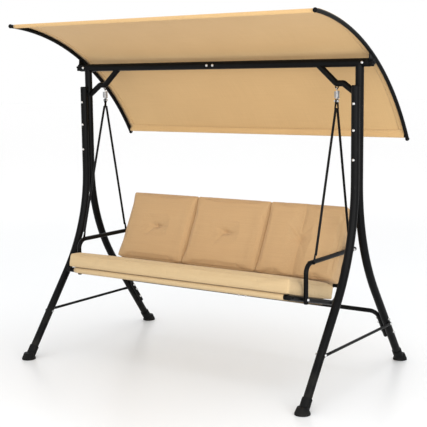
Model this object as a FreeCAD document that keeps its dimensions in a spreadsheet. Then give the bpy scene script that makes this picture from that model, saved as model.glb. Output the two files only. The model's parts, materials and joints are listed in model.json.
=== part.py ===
import FreeCAD, Part
import math
import os
import re
import Sketcher

# Canopy swing bench: a steel stand, a cushioned bench hung on two springs, and a tilting canopy.
# Frame: +X along the bench, +Y from front to back, +Z up. Origin on the floor, mid-way between the feet.
# All lengths are millimetres and all angles degrees.

os.makedirs("parts", exist_ok=True)
doc = FreeCAD.newDocument("canopy_swing_bench")

# ---------------------------------------------------------------- sizes

DIMENSIONS = (
    # stand
    ("leg_plane", 830, "half the distance between the two A-frames"),
    ("leg_dia", 40, "leg tube, outside"),
    ("tube_wall", 1.5, "wall of the stand and seat tubes"),
    ("leg_touch", 0.4, "gap between the paired leg tubes"),
    ("leg_bend_start", 978, "height where the legs leave the vertical"),
    ("leg_bend_radius", 930, "long bend of each leg"),
    ("leg_splay", 36.5, "angle of the lower legs from the vertical"),
    ("leg_end", 18, "height of the tube's end inside its foot"),
    ("front_leg_drop", 110, "front leg top below the top bar"),
    ("bar_height", 1530, "axis of the top bar"),
    ("bar_dia", 40, "top bar, outside"),
    ("bar_reach", 46, "top bar beyond the leg plane"),
    ("joint_gap", 0.5, "half the gap between two tube halves"),
    ("sleeve_fit", 0.2, "radial gap of a sleeve or plug in its tube"),
    ("bar_sleeve_length", 160, "inner sleeve of the top bar"),
    ("bar_bolt_offset", 18, "joint bolt from the middle of the bar"),
    ("foot_base_dia", 72, "foot on the floor"),
    ("foot_rim", 7, "height of the foot's upright rim"),
    ("foot_wall", 4, "wall of the foot's socket"),
    ("foot_skirt", 34, "height of the foot's sloping skirt"),
    ("foot_socket", 74, "length of the foot's socket along the leg"),
    ("foot_fit", 0.2, "radial gap of the leg in its foot"),
    ("cap_height", 7, "cap of a front leg"),
    ("tube_cap_height", 4.2, "cap of a seat tube"),
    ("cap_depth", 18, "plug of a cap inside its tube"),
    # fasteners
    ("bolt_dia", 6, "bolt shank"),
    ("bolt_fit", 0.4, "bolt hole larger than its shank"),
    ("bolt_head_dia", 14, "domed bolt head"),
    ("bolt_head_high", 5, "domed bolt head"),
    ("bolt_seat", 0.2, "gap under a head or nut"),
    ("nut_size", 10, "nut across its flats"),
    ("nut_high", 6, "nut thickness"),
    ("nut_stand", 3, "bolt end beyond its nut"),
    ("leg_bolt_high", 188, "upper leg bolt below the top bar"),
    ("leg_bolt_mid", 311, "middle leg bolt below the top bar"),
    ("leg_bolt_low", 448, "lower leg bolt below the top bar"),
    ("plug_bolt_reach", 21, "bar end bolt beyond the leg plane"),
    # knee braces
    ("brace_dia", 30, "knee brace tube"),
    ("brace_bar_reach", 225, "brace on the bar, from the leg plane"),
    ("brace_inner_reach", 120, "inner bend of the brace, from the leg plane"),
    ("brace_outer_reach", 83, "outer bend of the brace, from the leg plane"),
    ("brace_drop", 95, "level part of the brace below the top bar"),
    ("brace_foot_drop", 60, "brace at the leg below its level part"),
    ("brace_bend", 18, "bend radius of the brace"),
    ("weld_gap", 0.2, "gap between a coped end and its tube"),
    # suspension
    ("hang_reach", 118, "hanging point inside the leg plane"),
    ("eye_wire", 5, "wire of the hanging eye"),
    ("eye_radius", 8, "middle radius of the hanging eye"),
    ("hook_drop", 24, "hook below the level part of the brace"),
    ("spring_length", 58, "hook centre to hanger bolt centre"),
    ("spring_wire", 3.5, "spring wire"),
    ("spring_radius", 11.5, "middle radius of the coil"),
    ("spring_coil", 34, "length of the coil"),
    ("spring_pitch", 4.1, "one turn of the coil"),
    ("hook_radius", 6.2, "middle radius of a spring hook"),
    # braces between the legs
    ("side_brace_dia", 14, "side brace tube"),
    ("side_brace_height", 228, "side brace"),
    ("tab_thick", 3, "flattened tube end"),
    ("side_tab_width", 17, "flattened end of the side brace"),
    ("side_tab_length", 44, "flattened end of the side brace"),
    ("crossbar_dia", 22, "rear crossbar tube"),
    ("crossbar_height", 295, "level part of the rear crossbar"),
    ("crossbar_end", 148, "lower end of the rear crossbar"),
    ("crossbar_bend", 40, "bend radius of the rear crossbar"),
    ("crossbar_bolt_high", 256, "upper bolt of the rear crossbar"),
    ("crossbar_bolt_low", 178, "lower bolt of the rear crossbar"),
    ("crossbar_sleeve_length", 110, "inner sleeve of the rear crossbar"),
    ("crossbar_bolt_offset", 22, "joint bolt from the middle of the crossbar"),
    # seat frame
    ("arm_dia", 22, "armrest tube"),
    ("arm_rise", 142, "armrest above the front rail"),
    ("arm_post_back", 98, "front post behind the front rail"),
    ("arm_beyond", 23, "armrest beyond its rear bolt"),
    ("arm_foot_drop", 42, "lower end of the armrest below the front rail"),
    ("arm_bend", 48, "bend radius of the armrest"),
    ("side_gap", 0.3, "gap between tubes bolted side by side"),
    ("frame_dia", 25, "seat frame tube"),
    ("seat_front", -343, "front rail, front to back"),
    ("seat_front_height", 470, "front rail, height"),
    ("seat_tilt", 14, "seat falls towards the back"),
    ("seat_depth", 455, "front rail to the corner of the side frame"),
    ("back_lean", 27, "backrest from the vertical"),
    ("back_rise", 488, "corner to the top of the side frame"),
    ("frame_bend", 60, "bend radius of the side frame"),
    ("frame_nose", 16, "side frame in front of the front rail"),
    ("rail_gap", 0.2, "gap at the ends of a cross rail"),
    ("seat_rail_ahead", 77, "rear rail ahead of the frame's corner"),
    ("back_rail_low", 92, "corner to the lower back rail"),
    ("back_rail_drop", 22, "top rail below the top of the side frame"),
    ("rod_dia", 12, "hanger rod"),
    ("rod_front_back", 53, "front rod behind the front post"),
    ("rod_rear_ahead", 59, "rear rod ahead of the armrest's rear bolt"),
    ("rod_tab_width", 17, "flattened end of a hanger rod"),
    ("rod_tab_beyond", 8.9, "flattened end beyond the point where two rods part"),
    ("hook_side_gap", 0.5, "gap between hook and hanger rod"),
    # soft parts
    ("sling_thick", 1.6, "sling fabric"),
    ("sling_fit", 0.4, "gap of a sling round its rail"),
    ("sling_inset", 34, "sling edge from the side frame's axis"),
    ("cushion_gap", 0.8, "gap under a cushion"),
    ("seat_pad_side", 11.45, "seat cushion to armrest, each side"),
    ("seat_pad_nose", 31, "seat cushion in front of the front rail"),
    ("seat_pad_ahead", 31, "seat cushion ahead of the frame's corner"),
    ("seat_pad_thick", 73, "seat cushion"),
    ("seat_pad_round", 14, "rounded edges of the seat cushion"),
    ("back_pad_side", 10.45, "back cushions to armrest, each side"),
    ("back_pad_middle", 464, "middle back cushion with its gaps"),
    ("back_pad_gap", 4, "gap between two back cushions"),
    ("back_pad_thick", 96, "back cushion"),
    ("back_pad_drop", 14, "back cushions below the top of the side frame"),
    ("back_pad_round", 20, "rounded edges of a back cushion"),
    ("pad_meet", 3, "gap between seat cushion and back cushions"),
    # canopy
    ("canopy_out", 54, "canopy arc outside the leg plane"),
    ("canopy_radius", 1203, "curve of the canopy arcs"),
    ("canopy_half_angle", 27.7, "half of the arc"),
    ("canopy_tilt", 31.5, "canopy raised at the front"),
    ("canopy_rise", 42, "arc above its pivot"),
    ("arc_dia", 19, "canopy arc tube"),
    ("canopy_wall", 1.2, "wall of the canopy tubes"),
    ("plate_thick", 4, "pivot plate"),
    ("plate_round", 19, "pivot plate round its hole"),
    ("plate_root", 34, "half length of the pivot plate on the arc"),
    ("hem_dia", 16, "front and rear canopy tubes"),
    ("hem_inset", 16, "canopy tube from the end of its arc"),
    ("fabric_thick", 2.4, "canopy fabric with its hems"),
    ("fabric_fit", 0.6, "gap between fabric and tube"),
    ("fabric_overhang", 2, "fabric outside the arc tube"),
    ("arc_cap_length", 8, "cap on the end of an arc"),
    ("arc_cap_wall", 1.1, "cap outside its arc tube"),
    ("pivot_dia", 10, "threaded pivot"),
    ("pivot_fit", 0.05, "radial running clearance on the pivot"),
    ("pivot_bevel", 1, "bevel on the end of the pivot"),
    ("pivot_side_gap", 0.4, "gap on each side of the pivot plate"),
    ("plug_length", 48, "bar end plug inside the bar"),
    ("knob_thick", 15, "clamp knob"),
    ("knob_hub", 13, "radius of the knob's hub"),
    ("knob_lobe", 6, "radius of a knob's lobe"),
    ("knob_lobes", 5, "number of lobes"),
    ("pivot_tip", 4, "pivot beyond the knob"),
)

sizes = doc.addObject("Spreadsheet::Sheet", "Sizes")
for row, (name, amount, note) in enumerate(DIMENSIONS, start=1):
    sizes.set(f"A{row}", note)
    sizes.set(f"B{row}", str(amount))
    sizes.setAlias(f"B{row}", name)
doc.recompute()
ALIASES = re.compile(r"\b(" + "|".join(name for name, amount, note in DIMENSIONS) + r")\b")


def formula(text):
    """An expression in which every size is read from the sheet."""
    return ALIASES.sub(r"Sizes.\1", str(text))


def number(text):
    """The present value of an expression."""
    result = sizes.evalExpression(formula(text))
    return float(getattr(result, "Value", result))


# Lines and points that several pieces share.
REAR_Y = "((leg_dia + leg_touch) / 2)"
BEND_END = "(leg_bend_start - leg_bend_radius * sin(leg_splay))"
FOOT_Y = f"({REAR_Y} + leg_bend_radius * (1 - cos(leg_splay)) + {BEND_END} * tan(leg_splay))"
BAR_END = "(leg_plane + bar_reach)"
FRONT_LEG_TOP = "(bar_height - front_leg_drop)"
LEG_BOLTS = [f"(bar_height - {drop})" for drop in ("leg_bolt_high", "leg_bolt_mid", "leg_bolt_low")]
BRACE_Z = "(bar_height - brace_drop)"
HOOK_Z = f"({BRACE_Z} - hook_drop)"
HANGER_Z = f"({HOOK_Z} - spring_length)"
HANG_X = "(leg_plane - hang_reach)"
TAB_SIDE = "(spring_wire / 2 + hook_side_gap + tab_thick / 2)"
ARM_X = f"({HANG_X} - {TAB_SIDE} - tab_thick / 2 - side_gap - arm_dia / 2)"
FRAME_X = f"({ARM_X} - arm_dia / 2 - side_gap - frame_dia / 2)"
CORNER_Y = "(seat_front + seat_depth * cos(seat_tilt))"
CORNER_Z = "(seat_front_height - seat_depth * sin(seat_tilt))"
ARM_Z = "(seat_front_height + arm_rise)"
ARM_FOOT_Z = "(seat_front_height - arm_foot_drop)"
ARM_FRONT = "(seat_front + arm_post_back)"
ARM_FRONT_BOLT = "(seat_front_height - arm_post_back * tan(seat_tilt))"
ARM_REAR_BOLT = f"({CORNER_Y} + ({ARM_Z} - {CORNER_Z}) * tan(back_lean))"
ARM_REAR = f"({ARM_REAR_BOLT} + arm_beyond)"
ROD_FRONT = f"({ARM_FRONT} + rod_front_back)"
ROD_REAR = f"({ARM_REAR_BOLT} - rod_rear_ahead)"
ROD_RISE = f"({HANGER_Z} - {ARM_Z})"
FRONT_SLANT = f"atan2({REAR_Y} - {ROD_FRONT}; {ROD_RISE})"
REAR_SLANT = f"atan2({ROD_REAR} - {REAR_Y}; {ROD_RISE})"
RODS_PART = f"(rod_dia / (sin({FRONT_SLANT}) + sin({REAR_SLANT})))"
ROD_TAB = f"({RODS_PART} + rod_tab_beyond)"
SEAT_SPAN = "(seat_depth - seat_rail_ahead)"
BACK_TOP_RAIL = "(back_rise - back_rail_drop)"
ARC_X = "(leg_plane + canopy_out)"
PLUG_FLANGE = f"({ARC_X} - plate_thick / 2 - pivot_side_gap - {BAR_END} - weld_gap)"
HEM_ANGLE = "(canopy_half_angle - hem_inset / canopy_radius * 180 / pi)"
CLEAR_HOLE = "(bolt_dia + bolt_fit)"


# ---------------------------------------------------------------- ways of making a piece

def place(thing, x="0", y="0", z="0", axis=(1, 0, 0), angle="0"):
    """Bind a placement: a shift, after a turn about one axis."""
    rotation = "create(<<rotation>>; create(<<vector>>; {}; {}; {}); {})".format(*axis, formula(angle))
    shift = f"create(<<vector>>; {formula(x)}; {formula(y)}; {formula(z)})"
    thing.setExpression("Placement", f"create(<<placement>>; {shift}; {rotation})")
    return thing


def new_body(label):
    body = doc.addObject("PartDesign::Body", label)
    body.Label = label
    return body


def new_sketch(body, role, lift=None):
    """A sketch on one of the body's own origin planes, lifted along the plane's normal."""
    sketch = body.newObject("Sketcher::SketchObject", body.Name + "_sketch")
    plane = [feature for feature in body.Origin.OriginFeatures if feature.Role == role][0]
    sketch.AttachmentSupport = [(plane, "")]
    sketch.MapMode = "FlatFace"
    if lift is not None:
        sketch.setExpression("AttachmentOffset.Base.z", formula(lift))
    return sketch


def bind(sketch, constraint, text):
    index = sketch.addConstraint(constraint)
    sketch.setExpression(f"Constraints[{index}]", formula(text))


def pin(sketch, shape, end, u, v):
    """Hold one point of a sketch at (u, v) from the sketch's origin."""
    bind(sketch, Sketcher.Constraint("DistanceX", -1, 1, shape, end, number(u)), u)
    bind(sketch, Sketcher.Constraint("DistanceY", -1, 1, shape, end, number(v)), v)


def draw_circle(sketch, u, v, diameter):
    centre = FreeCAD.Vector(number(u), number(v), 0)
    circle = Part.Circle(centre, FreeCAD.Vector(0, 0, 1), number(diameter) / 2)
    shape = sketch.addGeometry(circle, False)
    pin(sketch, shape, 3, u, v)
    bind(sketch, Sketcher.Constraint("Diameter", shape, number(diameter)), diameter)


def draw_outline(sketch, corners):
    """A closed outline of straight edges."""
    spots = [FreeCAD.Vector(number(u), number(v), 0) for u, v in corners]
    count = len(spots)
    edges = []
    for i in range(count):
        edges.append(sketch.addGeometry(Part.LineSegment(spots[i], spots[(i + 1) % count]), False))
    for i in range(count):
        sketch.addConstraint(Sketcher.Constraint("Coincident", edges[i], 2, edges[(i + 1) % count], 1))
        pin(sketch, edges[i], 1, *corners[i])


def draw_path(sketch, corners, radius):
    """An open path of straight runs joined by tangent bends of one radius."""
    spots = [FreeCAD.Vector(number(u), number(v), 0) for u, v in corners]
    size = number(radius)
    ways = [(b - a).normalize() for a, b in zip(spots, spots[1:])]
    starts = [spots[0]]
    ends = []
    bends = []
    for i in range(1, len(spots) - 1):
        bend_angle = ways[i - 1].getAngle(ways[i])
        reach = size * math.tan(bend_angle / 2)
        enter = spots[i] - ways[i - 1] * reach
        leave = spots[i] + ways[i] * reach
        inward = (ways[i] - ways[i - 1]).normalize()
        centre = spots[i] + inward * (size / math.cos(bend_angle / 2))
        bends.append(Part.Arc(enter, centre - inward * size, leave))
        ends.append(enter)
        starts.append(leave)
    ends.append(spots[-1])
    runs = [sketch.addGeometry(Part.LineSegment(a, b), False) for a, b in zip(starts, ends)]
    pin(sketch, runs[0], 1, *corners[0])
    pin(sketch, runs[-1], 2, *corners[-1])
    for i, bend in enumerate(bends):
        corner = sketch.addGeometry(Part.Point(spots[i + 1]), True)
        pin(sketch, corner, 1, *corners[i + 1])
        sketch.addConstraint(Sketcher.Constraint("PointOnObject", corner, 1, runs[i]))
        sketch.addConstraint(Sketcher.Constraint("PointOnObject", corner, 1, runs[i + 1]))
        arc = sketch.addGeometry(bend, False)
        first = sketch.getPoint(arc, 1)
        enter_end = 1 if first.distanceToPoint(ends[i]) < first.distanceToPoint(starts[i + 1]) else 2
        sketch.addConstraint(Sketcher.Constraint("Tangent", runs[i], 2, arc, enter_end))
        sketch.addConstraint(Sketcher.Constraint("Tangent", arc, 3 - enter_end, runs[i + 1], 1))
        bind(sketch, Sketcher.Constraint("Radius", arc, size), radius)


def pad(body, sketch, length, middle=False):
    feature = body.newObject("PartDesign::Pad", body.Name + "_pad")
    feature.Profile = sketch
    feature.setExpression("Length", formula(length))
    feature.Midplane = middle
    body.Tip = feature
    return feature


def drill(body, role, spots, diameter):
    """Round holes right through, along the normal of an origin plane."""
    doc.recompute()
    before = body.Shape.Volume
    sketch = new_sketch(body, role)
    for u, v in spots:
        draw_circle(sketch, u, v, diameter)
    feature = body.newObject("PartDesign::Pocket", body.Name + "_holes")
    feature.Profile = sketch
    feature.Type = "ThroughAll"
    feature.Midplane = True
    body.Tip = feature
    doc.recompute()
    if body.Shape.Volume >= before:
        raise RuntimeError(body.Label + ": a hole misses the piece")


def turn(body, corners):
    """A turned piece: outline points are (radius, height), turned about the body's Z axis."""
    sketch = new_sketch(body, "XZ_Plane")
    draw_outline(sketch, corners)
    feature = body.newObject("PartDesign::Revolution", body.Name + "_turned")
    feature.Profile = sketch
    feature.ReferenceAxis = (sketch, ["V_Axis"])
    feature.Angle = 360
    body.Tip = feature


def bent_tube(label, role, corners, radius, diameter, wall):
    """A bent tube: its centre line is a path on an origin plane."""
    body = new_body(label)
    route = new_sketch(body, role)
    draw_path(route, corners, radius)
    doc.recompute()
    sweep_ring(body, route, diameter, wall)
    return body


def sweep_ring(body, route, diameter, wall):
    ring = body.newObject("Sketcher::SketchObject", body.Name + "_ring")
    ring.AttachmentSupport = [(route, "Edge1")]
    ring.MapMode = "NormalToEdge"
    ring.MapPathParameter = 0
    draw_circle(ring, "0", "0", diameter)
    draw_circle(ring, "0", "0", f"{diameter} - 2 * {wall}")
    doc.recompute()
    pipe = body.newObject("PartDesign::AdditivePipe", body.Name + "_pipe")
    pipe.Profile = ring
    pipe.Spine = (route, [])
    body.Tip = pipe
    doc.recompute()


def straight_tube(label, length, diameter, wall, u="0", v="0"):
    """A straight tube along X, centred on the YZ plane."""
    body = new_body(label)
    sketch = new_sketch(body, "YZ_Plane")
    draw_circle(sketch, u, v, diameter)
    draw_circle(sketch, u, v, f"{diameter} - 2 * {wall}")
    pad(body, sketch, length, middle=True)
    return body


def group(label, members):
    """Identical small pieces that share one node."""
    cluster = doc.addObject("Part::Compound", label)
    cluster.Label = label
    cluster.Links = members
    return cluster


# A domed head's outline, as shares of its diameter and of its height.
HEAD_DOME = ((0.28, 1), (0.42, 0.7), (0.5, 0.2))
# A cap's side, as a share of its height, and the flat of its top, as a share of its radius.
CAP_SIDE = 0.5
CAP_TOP = 0.8
# A flattened rod end where it joins the rod, as a share of the rod's diameter.
TAB_ROOT = 0.8


def bolt(label, grip):
    """A domed bolt: its head lies below z = 0 and its shank runs along +Z through the grip."""
    body = new_body(label)
    end = f"{grip} + 2 * bolt_seat + nut_high + nut_stand"
    dome = [(f"bolt_head_dia * {wide}", f"-bolt_head_high * {high}") for wide, high in HEAD_DOME]
    turn(body, [("0", "-bolt_head_high")] + dome + [
        ("bolt_head_dia / 2", "0"), ("bolt_dia / 2", "0"), ("bolt_dia / 2", end), ("0", end)])
    return body


def nut(label):
    """A hexagon nut from z = 0 up."""
    body = new_body(label)
    sketch = new_sketch(body, "XY_Plane")
    far = "nut_size / 2 / cos(30)"
    draw_outline(sketch, [(f"{far} * cos({60 * i})", f"{far} * sin({60 * i})") for i in range(6)])
    draw_circle(sketch, "0", "0", "bolt_dia + 0.1 * bolt_fit")
    pad(body, sketch, "nut_high")
    return body


ALONG_X = ((0, 1, 0), "90")
AGAINST_X = ((0, 1, 0), "-90")
ALONG_Y = ((1, 0, 0), "-90")


def fasten(label, grip, seats, nuts):
    """Bolts through a stack of the given thickness. A seat is the head's place and its direction."""
    bolts = []
    for i, (x, y, z, (axis, angle)) in enumerate(seats, start=1):
        piece = bolt(f"{label}_{i}", grip)
        place(piece, x, y, z, axis, angle)
        bolts.append(piece)
        lock = nut(f"{label}_nut_{i}")
        reach = f"({grip} + 2 * bolt_seat)"
        shift = {ALONG_X: (reach, "0", "0"), AGAINST_X: (f"-{reach}", "0", "0"), ALONG_Y: ("0", reach, "0")}
        dx, dy, dz = shift[(axis, angle)]
        place(lock, f"{x} + {dx}", f"{y} + {dy}", f"{z} + {dz}", axis, angle)
        nuts.append(lock)
    return bolts


SIDES = (("left", -1), ("right", 1))
nodes = []
stand_nuts = []


# ---------------------------------------------------------------- stand: legs and feet

CROSS_BOLT_Y = f"({FOOT_Y} - {{}} * tan(leg_splay))"


def leg(name, side, way, top):
    """One leg: vertical at the top, a long bend, and a straight splayed foot. way is -1 at the front."""
    far = f"({FOOT_Y} - leg_end * tan(leg_splay))"
    knee = f"({REAR_Y})"
    knee_height = f"({FOOT_Y} - {REAR_Y}) / tan(leg_splay)"
    corners = [(f"{way} * {knee}", top), (f"{way} * {knee}", knee_height), (f"{way} * {far}", "leg_end")]
    piece = bent_tube(f"{name}_leg_{side}", "YZ_Plane", corners, "leg_bend_radius", "leg_dia", "tube_wall")
    drill(piece, "XZ_Plane", [("0", height) for height in LEG_BOLTS], CLEAR_HOLE)
    spots = [(f"{way} * {CROSS_BOLT_Y.format('side_brace_height')}", "side_brace_height")]
    if way > 0:
        for height in ("crossbar_bolt_high", "crossbar_bolt_low"):
            spots.append((CROSS_BOLT_Y.format(height), height))
    drill(piece, "YZ_Plane", spots, CLEAR_HOLE)
    return piece


def foot(name, side, sign, way):
    """A flared plastic foot: a round base, a skirt, and a socket that follows the leg."""
    label = f"foot_{name}_{side}"
    base = doc.addObject("Part::Cylinder", label + "_rim")
    base.setExpression("Radius", formula("foot_base_dia / 2"))
    base.setExpression("Height", formula("foot_rim"))
    skirt = doc.addObject("Part::Cone", label + "_skirt")
    skirt.setExpression("Radius1", formula("foot_base_dia / 2"))
    skirt.setExpression("Radius2", formula("leg_dia / 2 + foot_wall"))
    skirt.setExpression("Height", formula("foot_skirt - foot_rim"))
    place(skirt, z="foot_rim")
    socket = doc.addObject("Part::Cylinder", label + "_socket")
    socket.setExpression("Radius", formula("leg_dia / 2 + foot_wall"))
    socket.setExpression("Height", formula("foot_socket"))
    place(socket, angle=f"{way} * leg_splay")
    whole = doc.addObject("Part::MultiFuse", label + "_whole")
    whole.Shapes = [base, skirt, socket]
    floor = doc.addObject("Part::Box", label + "_floor")
    floor.setExpression("Length", formula("2 * foot_base_dia"))
    floor.setExpression("Width", formula("2 * foot_base_dia"))
    floor.setExpression("Height", formula("foot_base_dia"))
    place(floor, "-foot_base_dia", "-foot_base_dia", "-foot_base_dia")
    bore = doc.addObject("Part::Cylinder", label + "_bore")
    bore.setExpression("Radius", formula("leg_dia / 2 + foot_fit"))
    bore.setExpression("Height", formula("foot_socket"))
    deep = "(leg_end - foot_fit)"
    place(bore, "0", f"-{way} * {deep} * tan(leg_splay)", deep, angle=f"{way} * leg_splay")
    level = doc.addObject("Part::Cut", label + "_level")
    level.Base = whole
    level.Tool = floor
    piece = doc.addObject("Part::Cut", label)
    piece.Base = level
    piece.Tool = bore
    piece.Label = label
    place(piece, f"{sign} * leg_plane", f"{way} * {FOOT_Y}")
    return piece


for side, sign in SIDES:
    rear = leg("rear", side, 1, "bar_height")
    drill(rear, "YZ_Plane", [(REAR_Y, "bar_height")], "bar_dia + 2 * weld_gap")
    front = leg("front", side, -1, FRONT_LEG_TOP)
    for piece in (rear, front):
        nodes.append(place(piece, f"{sign} * leg_plane"))
    for name, way in (("front", -1), ("rear", 1)):
        nodes.append(foot(name, side, sign, way))

caps = []
for side, sign in SIDES:
    cap = new_body(f"front_leg_cap_{side}")
    inner = "leg_dia / 2 - tube_wall - sleeve_fit"
    turn(cap, [("0", "-cap_depth"), (inner, "-cap_depth"), (inner, "bolt_seat"), ("leg_dia / 2", "bolt_seat"),
               ("leg_dia / 2", f"cap_height * {CAP_SIDE}"), (f"leg_dia / 2 * {CAP_TOP}", "cap_height"),
               ("0", "cap_height")])
    caps.append(place(cap, f"{sign} * leg_plane", f"-{REAR_Y}", FRONT_LEG_TOP))
nodes.append(group("front_leg_caps", caps))

front_face = f"-({REAR_Y} + leg_dia / 2 + bolt_seat)"
seats = [(f"{sign} * leg_plane", front_face, height, ALONG_Y) for side, sign in SIDES for height in LEG_BOLTS]
nodes.append(group("leg_bolts", fasten("leg_bolt", "(2 * leg_dia + leg_touch)", seats, stand_nuts)))


# ---------------------------------------------------------------- stand: top bar

for side, sign in SIDES:
    bar = new_body(f"top_bar_{side}")
    start = "joint_gap" if sign > 0 else f"-{BAR_END}"
    ring = new_sketch(bar, "YZ_Plane", start)
    draw_circle(ring, "0", "0", "bar_dia")
    draw_circle(ring, "0", "0", "bar_dia - 2 * tube_wall")
    pad(bar, ring, f"{BAR_END} - joint_gap")
    spots = [(f"{sign} * bar_bolt_offset", "0"), (f"{sign} * (leg_plane + plug_bolt_reach)", "0")]
    drill(bar, "XZ_Plane", spots, CLEAR_HOLE)
    nodes.append(place(bar, "0", REAR_Y, "bar_height"))

    plug = new_body(f"bar_end_plug_{side}")
    body_r = "bar_dia / 2 - tube_wall - sleeve_fit"
    inside = f"{BAR_END} - plug_length"
    flange = f"({BAR_END} + weld_gap)"
    face = f"({flange} + {PLUG_FLANGE})"
    tip = f"({ARC_X} + plate_thick / 2 + pivot_side_gap + knob_thick + pivot_tip)"
    turn(plug, [("0", inside), (body_r, inside), (body_r, flange), ("bar_dia / 2", flange),
                ("bar_dia / 2", face), ("pivot_dia / 2", face), ("pivot_dia / 2", f"{tip} - pivot_bevel"),
                ("pivot_dia / 2 - pivot_bevel", tip), ("0", tip)])
    drill(plug, "XZ_Plane", [("0", "leg_plane + plug_bolt_reach")], CLEAR_HOLE)
    nodes.append(place(plug, "0", REAR_Y, "bar_height", (0, 1, 0), f"{sign} * 90"))

sleeve_dia = "(bar_dia - 2 * tube_wall - 2 * sleeve_fit)"
sleeve = straight_tube("bar_sleeve", "bar_sleeve_length", sleeve_dia, "tube_wall")
drill(sleeve, "XZ_Plane", [("-bar_bolt_offset", "0"), ("bar_bolt_offset", "0")], CLEAR_HOLE)
nodes.append(place(sleeve, "0", REAR_Y, "bar_height"))

bar_face = f"{REAR_Y} - bar_dia / 2 - bolt_seat"
seats = []
for side, sign in SIDES:
    seats.append((f"{sign} * bar_bolt_offset", bar_face, "bar_height", ALONG_Y))
    seats.append((f"{sign} * (leg_plane + plug_bolt_reach)", bar_face, "bar_height", ALONG_Y))
nodes.append(group("bar_bolts", fasten("bar_bolt", "bar_dia", seats, stand_nuts)))


# ---------------------------------------------------------------- stand: knee braces with hanging eyes

for side, sign in SIDES:
    corners = [(f"{sign} * (leg_plane - brace_bar_reach)", "bar_height"),
               (f"{sign} * (leg_plane - brace_inner_reach)", BRACE_Z),
               (f"{sign} * (leg_plane - brace_outer_reach)", BRACE_Z),
               (f"{sign} * leg_plane", f"({BRACE_Z} - brace_foot_drop)")]
    tube = bent_tube(f"knee_brace_tube_{side}", "XZ_Plane", corners, "brace_bend", "brace_dia", "tube_wall")
    drill(tube, "YZ_Plane", [("0", "bar_height")], "bar_dia + 2 * weld_gap")
    drill(tube, "XY_Plane", [(f"{sign} * leg_plane", "0")], "leg_dia + 2 * weld_gap")
    eye = doc.addObject("Part::Torus", f"hanging_eye_{side}")
    eye.setExpression("Radius1", formula("eye_radius"))
    eye.setExpression("Radius2", formula("eye_wire / 2"))
    place(eye, f"{sign} * {HANG_X}", "0", f"{HOOK_Z} + eye_radius", (1, 0, 0), "90")
    stem = doc.addObject("Part::Cylinder", f"hanging_stem_{side}")
    stem.setExpression("Radius", formula("eye_wire / 2"))
    stem_foot = f"({HOOK_Z} + 2 * eye_radius)"
    stem.setExpression("Height", formula(f"{BRACE_Z} + brace_dia / 4 - {stem_foot}"))
    place(stem, f"{sign} * {HANG_X}", "0", stem_foot)
    brace = doc.addObject("Part::MultiFuse", f"knee_brace_{side}")
    brace.Shapes = [tube, eye, stem]
    brace.Label = f"knee_brace_{side}"
    nodes.append(place(brace, "0", REAR_Y))


# ---------------------------------------------------------------- stand: side braces and rear crossbar

for side, sign in SIDES:
    brace = new_body(f"side_brace_{side}")
    span = CROSS_BOLT_Y.format("side_brace_height")
    ring = new_sketch(brace, "XZ_Plane")
    draw_circle(ring, "0", "0", "side_brace_dia")
    draw_circle(ring, "0", "0", "side_brace_dia - 2 * canopy_wall")
    pad(brace, ring, f"2 * ({span} - side_tab_length)", middle=True)
    for way in (-1, 1):
        tab = new_sketch(brace, "YZ_Plane")
        end = f"{way} * ({span} + side_tab_width / 2)"
        clip = f"{way} * ({span} + side_tab_width / 4)"
        root = f"{way} * ({span} - side_tab_length - side_brace_dia / 2)"
        corners = [(root, "-side_brace_dia / 2 + canopy_wall / 2"), (clip, "-side_tab_width / 2"),
                   (end, "-side_tab_width / 4"), (end, "side_tab_width / 4"), (clip, "side_tab_width / 2"),
                   (root, "side_brace_dia / 2 - canopy_wall / 2")]
        draw_outline(tab, corners)
        pad(brace, tab, "tab_thick", middle=True)
    drill(brace, "YZ_Plane", [(f"-{span}", "0"), (span, "0")], CLEAR_HOLE)
    out = "(leg_plane + leg_dia / 2 + weld_gap + tab_thick / 2)"
    nodes.append(place(brace, f"{sign} * {out}", "0", "side_brace_height"))

# At the back, the side brace's bolts also go through the ends of the rear crossbar.
side_bolts = []
head_x = "(leg_plane + leg_dia / 2 + weld_gap + tab_thick + bolt_seat)"
grips = (("front", -1, "(leg_dia + weld_gap + tab_thick)"),
         ("rear", 1, "(leg_dia + 2 * weld_gap + tab_thick + crossbar_dia)"))
for name, way, grip in grips:
    seats = []
    for side, sign in SIDES:
        spot = f"{way} * {CROSS_BOLT_Y.format('side_brace_height')}"
        seats.append((f"{sign} * {head_x}", spot, "side_brace_height", AGAINST_X if sign > 0 else ALONG_X))
    side_bolts += fasten(f"side_brace_{name}_bolt", grip, seats, stand_nuts)
nodes.append(group("side_brace_bolts", side_bolts))

CROSS_X = "(leg_plane - leg_dia / 2 - weld_gap - crossbar_dia / 2)"
for side, sign in SIDES:
    corners = [(f"{sign} * joint_gap", "crossbar_height / cos(leg_splay)"),
               (f"{sign} * {CROSS_X}", "crossbar_height / cos(leg_splay)"),
               (f"{sign} * {CROSS_X}", "crossbar_end / cos(leg_splay)")]
    half = bent_tube(f"crossbar_{side}", "XZ_Plane", corners, "crossbar_bend", "crossbar_dia", "tube_wall")
    joint = (f"{sign} * crossbar_bolt_offset", "crossbar_height / cos(leg_splay)")
    drill(half, "XZ_Plane", [joint], CLEAR_HOLE)
    heights = ("crossbar_bolt_high", "crossbar_bolt_low", "side_brace_height")
    spots = [("0", f"{height} / cos(leg_splay)") for height in heights]
    drill(half, "YZ_Plane", spots, CLEAR_HOLE)
    nodes.append(place(half, "0", FOOT_Y, "0", (1, 0, 0), "leg_splay"))

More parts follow.
